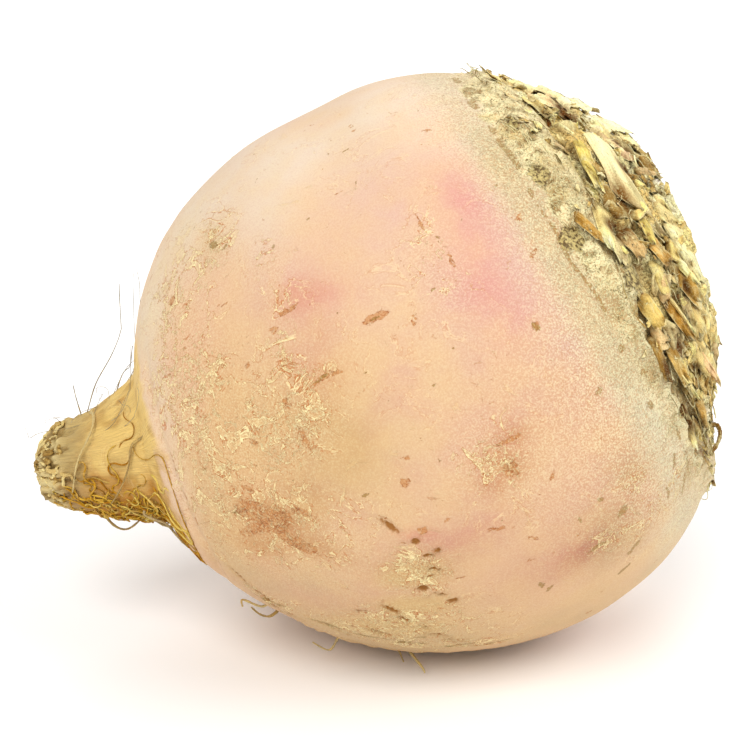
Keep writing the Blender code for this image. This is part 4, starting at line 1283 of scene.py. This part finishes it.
def makeLeafBases():
    # the large leaf bases at their own places.
    # the seeded ones are in golden-angle order from the neck to the cut
    rng = np.random.default_rng(11)
    look, tones = randomStraps, strapLook["tones"]
    parts = []
    for number, (start, finish, width, tone, bent) in enumerate(largeStraps):
        parts.append(strap(start, *headingBetween(start, finish), width, tone, 900 + number, **bent))
    for number in range(look["count"]):
        up = ((number + 0.5) / look["count"]) ** 1.1
        degrees = (look["turn"] * number + rng.uniform(-7, 7)) % 360
        inFront = look["front"][0] < degrees < look["front"][1]
        past = 0.6 + (headShape["height"] - 2.4) * up
        if inSpot(past, degrees, grainScars + bareSpots):
            continue
        heading = rng.normal(look["frontHeading"] if inFront else 0, look["heading"])
        parts.append(strap(
            (past, degrees), heading, rng.uniform(*look["length"]), rng.uniform(*look["width"]),
            tones[rng.integers(len(tones))], 100 + number, thickness=rng.uniform(*look["thickness"]),
            arch=rng.uniform(-1.6, 1.4), rise=rng.uniform(0.0, 0.9), lift=rng.uniform(-0.7, 0.9),
            curl=rng.uniform(-1.0, 1.2), torn=rng.uniform(0.3, 0.8), wave=rng.uniform(0.2, 0.8),
            fold=rng.uniform(0.3, 1.1), size=look["size"],
        ))
    return makePiece("leafBases", parts, strapMaterial, "leaf_bases")


def makeShreds(rng):
    # small torn bits left where leaves tore off, at seeded places and headings
    look, tones, parts = shreds, strapLook["tones"], []
    for number in range(look["count"]):
        degrees = rng.uniform(0, 360)
        lowest = 1.0 if degrees < 60 or degrees > 285 else -1.0
        past = rng.uniform(lowest, headShape["height"] - 0.5)
        if inSpot(past, degrees, grainScars):
            continue
        parts.append(strap(
            (past, degrees), rng.uniform(-180, 180), rng.uniform(*look["length"]),
            rng.uniform(*look["width"]), tones[rng.integers(len(tones))], 2000 + number,
            thickness=look["thickness"], arch=rng.uniform(0, 0.4), rise=rng.uniform(0.0, 0.9),
            lift=rng.uniform(*look["lift"]), curl=rng.uniform(-0.3, 0.3), torn=0.7, wave=0.2,
            fold=0.15, grimeAndShade=0.2, size=look["size"],
        ))
    return parts


def makeFibres(rng):
    # curled fibres: each heading swings as a seeded slope plus a wave, each height is part of a half wave
    look, tones, parts = fibreLook, strapLook["tones"], []
    share = np.linspace(0, 1, look["steps"])
    for number in range(look["count"]):
        turn = rng.uniform(0, 6.28) + rng.normal(0, look["bend"]) * share
        turn = turn + 0.5 * np.sin(share * rng.uniform(3, 9))
        step = rng.uniform(*look["reach"]) / look["steps"]
        past = rng.uniform(-1.5, headShape["height"] - 1) + coneShare * np.cumsum(np.cos(turn)) * step
        angle = math.radians(rng.uniform(0, 360)) + np.cumsum(np.sin(turn)) * step / look["turnRadius"]
        height = -0.4 + rng.uniform(*look["height"]) * np.sin(share * rng.uniform(1.6, 3.1))
        path = pressUnderKnife(headSkin(past, height, angle), 0.4)
        pale = rng.random() < look["paleShare"]
        tone = strapLook["paleEdge"] if pale else tones[rng.integers(len(tones))] * rng.uniform(0.5, 0.9)
        radius = rng.uniform(*look["radius"]) * (1.1 - 0.7 * share)
        parts.append(tubePart(path, radius, look["sides"], tone, 3000 + number))
    return parts


def makeLeafShreds():
    # the torn bits, a dry stalk bent to a loop, and the fibres
    rng = np.random.default_rng(19)
    parts = makeShreds(rng)
    route = smoothRoute(loopPlaces, loopLook["steps"])
    loop = headSkin(route[:, 0], route[:, 2], np.radians(route[:, 1]))
    parts.append(tubePart(loop, loopLook["radius"], loopLook["sides"], loopLook["tone"], 31))
    parts += makeFibres(rng)
    return makePiece("leafShreds", parts, strapMaterial, "leaf_bases")


makeLeafBases()
makeLeafShreds()

rootletLook = dict(
    sides=6, steps=6, thin=(5, 6, 7), thinRadius=0.12, radius=0.28, thinTone=paint(178, 170, 152),
    tones=(paint(200, 182, 144), paint(236, 216, 162), paint(184, 158, 108)),
)
# the places (along, degrees, height over the skin) that each rootlet passes, sunk in the skin at its start
rootletPlaces = (
    ((50.8, 210, -1.5), (49.4, 209, 1.2), (47.6, 208, 4.0), (45.3, 210, 3.6)),
    ((40.0, 211, -1.5), (38.1, 210, 1.0), (35.2, 212, 2.2), (35.0, 215, 4.0)),
    ((41.6, 211, -1.5), (39.5, 214, 2.0), (37.7, 213, 3.1), (36.6, 216, 2.7)),
    ((59.4, 204, -1.5), (59.6, 208, 2.4)),
    ((60.6, 204, -1.5), (62.2, 208, 3.0), (62.4, 208, 4.5)),
    ((11.2, 373, -1.5), (15.0, 370, 4.2), (21.5, 366, 7.4), (29.0, 357, 11.2)),
    ((18.8, 368, -1.5), (23.5, 358, 2.4), (28.0, 351, 1.2)),
    ((10.6, 374, -1.5), (9.8, 371, 3.5), (9.4, 371, 6.6)),
    ((12.6, 208, -1.2), (15.0, 207, 2.1), (17.6, 206, 2.5), (21.2, 208, -1.0)),
    ((21.2, 206, -1.2), (25.0, 222, 1.7), (28.6, 229, 1.0)),
    ((12.0, 370, -1.2), (15.4, 329, 1.0), (11.6, 294, 1.2), (9.3, 257, 0.7)),
    ((27.1, 303, -1.4), (23.7, 299, 0.8), (21.7, 281, 1.0), (16.8, 250, 1.1)),
    ((24.0, 246, -1.2), (22.2, 238, 1.2), (26.2, 228, 1.8), (24.4, 214, 1.0)),
)


def overSkin(along, degrees, height):
    # a point at a height over the skin, and never under the ground that the root rests on
    points = grown(along, skinRadius(along) + height, np.radians(degrees))
    points[..., 2] = np.maximum(points[..., 2], 0.5)
    return points


def makeRootlets():
    # each rootlet is a tapering tube on a smooth route through its places
    look = rootletLook
    parts = []
    for number, places in enumerate(rootletPlaces):
        route = smoothRoute(places, look["steps"])
        share = np.linspace(0, 1, len(route))
        path = overSkin(route[:, 0], route[:, 1], route[:, 2])
        thin = number in look["thin"]
        radius = look["thinRadius"] if thin else look["radius"]
        tone = look["thinTone"] if thin else look["tones"][number % 3]
        parts.append(tubePart(path, radius * (1.15 - 0.55 * share), look["sides"], tone, 300 + number))
    return makePiece("rootlets", parts, rootletMaterial, "root")


makeRootlets()


# fine roots on the tail. curls: a tangle under it. hairs: long, thin and pale, standing off its top
curlLook = dict(
    count=150, steps=22, sides=5, radius=(0.10, 0.26), length=(5.0, 16.0), middle=(19.5, 6.5),
    degrees=(236, 18), height=(0.1, 0.9), turn=7.0,
)
tipLook = dict(
    count=110, steps=12, sides=6, radius=(0.22, 0.55), length=(3.0, 8.0), middle=(3.6, 1.8),
    degrees=(270, 90), height=(0.1, 0.7), turn=6.0,
)
hairLook = dict(
    count=16, steps=16, sides=5, radius=(0.05, 0.08), length=(8.0, 20.0), middle=(17.0, 5.0),
    degrees=(360, 24), height=(3.0, 11.0), turn=1.6,
)
fineReach = (0.6, 30.5)  # fine roots stay on the tail
fineTurnRadius = 12  # the tail's radius, near enough
curlTones = (
    paint(240, 194, 70), paint(214, 156, 24), paint(184, 120, 6), paint(250, 222, 116), paint(224, 170, 44),
)
tipTones = (
    1.2 * paint(255, 238, 176), paint(230, 202, 136), paint(168, 134, 74), 1.1 * paint(244, 226, 166),
)
hairTones = (paint(206, 198, 182), paint(176, 168, 150))


def makeFineRoots(name, look, tones, seed):
    # each root wanders over the skin: its heading swings as a sum of two seeded waves.
    # its height is half a wave, or rises to its end where it stands off
    rng = np.random.default_rng(seed)
    parts = []
    for number in range(look["count"]):
        length = rng.uniform(*look["length"])
        share = np.linspace(0, 1, look["steps"])
        bend = rng.normal(0, look["turn"] / 3) * share
        bend = bend + 0.16 * look["turn"] * np.sin(share * rng.uniform(4, 12) + rng.uniform(0, 6))
        heading = rng.uniform(0, 6.28) + bend
        step = length / look["steps"]
        along = np.clip(rng.normal(*look["middle"]) + np.cumsum(np.cos(heading)) * step, *fineReach)
        aside = np.cumsum(np.sin(heading)) * step / fineTurnRadius
        degrees = rng.normal(*look["degrees"]) + np.degrees(aside)
        top = rng.uniform(*look["height"])
        standing = top > 2
        curve = share**1.3 if standing else np.sin(np.pi * np.minimum(share * 1.1, 1)) ** 0.7
        height = -0.5 + (0.5 + top) * curve
        height = height + (0.0 if standing else 0.15 * np.sin(share * 20 + number))
        path = overSkin(along, degrees, height)
        radius = rng.uniform(*look["radius"]) * (1.1 - 0.5 * share)
        parts.append(tubePart(path, radius, look["sides"], tones[rng.integers(len(tones))], 500 + number))
    return makePiece(name, parts, rootletMaterial, "root")


makeFineRoots("tailCurls", curlLook, curlTones, 21)
makeFineRoots("tipKnots", tipLook, tipTones, 23)
makeFineRoots("tailHairs", hairLook, hairTones, 22)
print("pieces made")

studio = dict(
    floorSize=12.0, floorTone=(0.93, 0.93, 0.93), floorRoughness=0.7,
    worldTone=(1.0, 1.0, 1.0), worldStrength=0.6, lightWidth=34.0,
    lights=dict(
        keyLight=((-0.35, -0.7, 0.85), 1.9, (1.0, 0.98, 0.95)),
        fillLight=((0.8, -0.4, 0.75), 1.3, (1.0, 1.0, 1.0)),
        backLight=((0.1, 0.8, 0.8), 0.6, (1.0, 1.0, 1.0)),
    ),
)
cameraView = dict(
    azimuth=-8.7, elevation=18.0, distance=0.3948, lens=90.0, aim=(-0.00297, 0.0, 0.05803), right=0.06516,
    up=0.01463,
)


def makeFloor():
    # one pale square under the root
    size = studio["floorSize"] / 2
    mesh = bpy.data.meshes.new("floor")
    mesh.from_pydata(
        [(-size, -size, 0), (size, -size, 0), (size, size, 0), (-size, size, 0)], [], [(0, 1, 2, 3)]
    )
    floor = bpy.data.objects.new("floor", mesh)
    bpy.context.scene.collection.objects.link(floor)
    made = bpy.data.materials.new("paleFloor")
    made.use_nodes = True
    shader = made.node_tree.nodes["Principled BSDF"]
    shader.inputs["Base Color"].default_value = (*studio["floorTone"], 1)
    shader.inputs["Roughness"].default_value = studio["floorRoughness"]
    mesh.materials.append(made)


def addSoftLight(name, at, power, colour=(1, 1, 1)):
    # a wide far light that shines from a direction to the origin
    light = bpy.data.lights.new(name, "SUN")
    light.angle = math.radians(studio["lightWidth"])
    light.energy = power
    light.color = colour
    lamp = bpy.data.objects.new(name, light)
    lamp.location = at
    lamp.rotation_euler = Vector(at).to_track_quat("Z", "Y").to_euler()
    bpy.context.scene.collection.objects.link(lamp)


def makeStudio():
    # the floor, the even light from all round and three soft lights
    makeFloor()
    world = bpy.data.worlds.new("studio")
    world.use_nodes = True
    background = world.node_tree.nodes["Background"]
    background.inputs["Color"].default_value = (*studio["worldTone"], 1)
    background.inputs["Strength"].default_value = studio["worldStrength"]
    bpy.context.scene.world = world
    for name, (at, power, colour) in studio["lights"].items():
        addSoftLight(name, at, power, colour)


def makeCamera():
    # stands away from its aim by azimuth, elevation and distance, with the frame shifted right and up
    c = cameraView
    azimuth, elevation = math.radians(c["azimuth"]), math.radians(c["elevation"])
    level = math.cos(elevation)
    away = np.array([math.sin(azimuth) * level, -math.cos(azimuth) * level, math.sin(elevation)])
    data = bpy.data.cameras.new("camera")
    data.lens = c["lens"]
    data.sensor_width = 36
    data.shift_x = -c["right"]
    data.shift_y = -c["up"]
    data.clip_start = 0.01
    camera = bpy.data.objects.new("camera", data)
    camera.location = np.array(c["aim"]) + away * c["distance"]
    camera.rotation_euler = (math.pi / 2 - elevation, 0, azimuth)
    bpy.context.scene.collection.objects.link(camera)
    bpy.context.scene.camera = camera


makeStudio()
makeCamera()
bpy.context.scene.view_settings.view_transform = "Standard"
print("studio made")
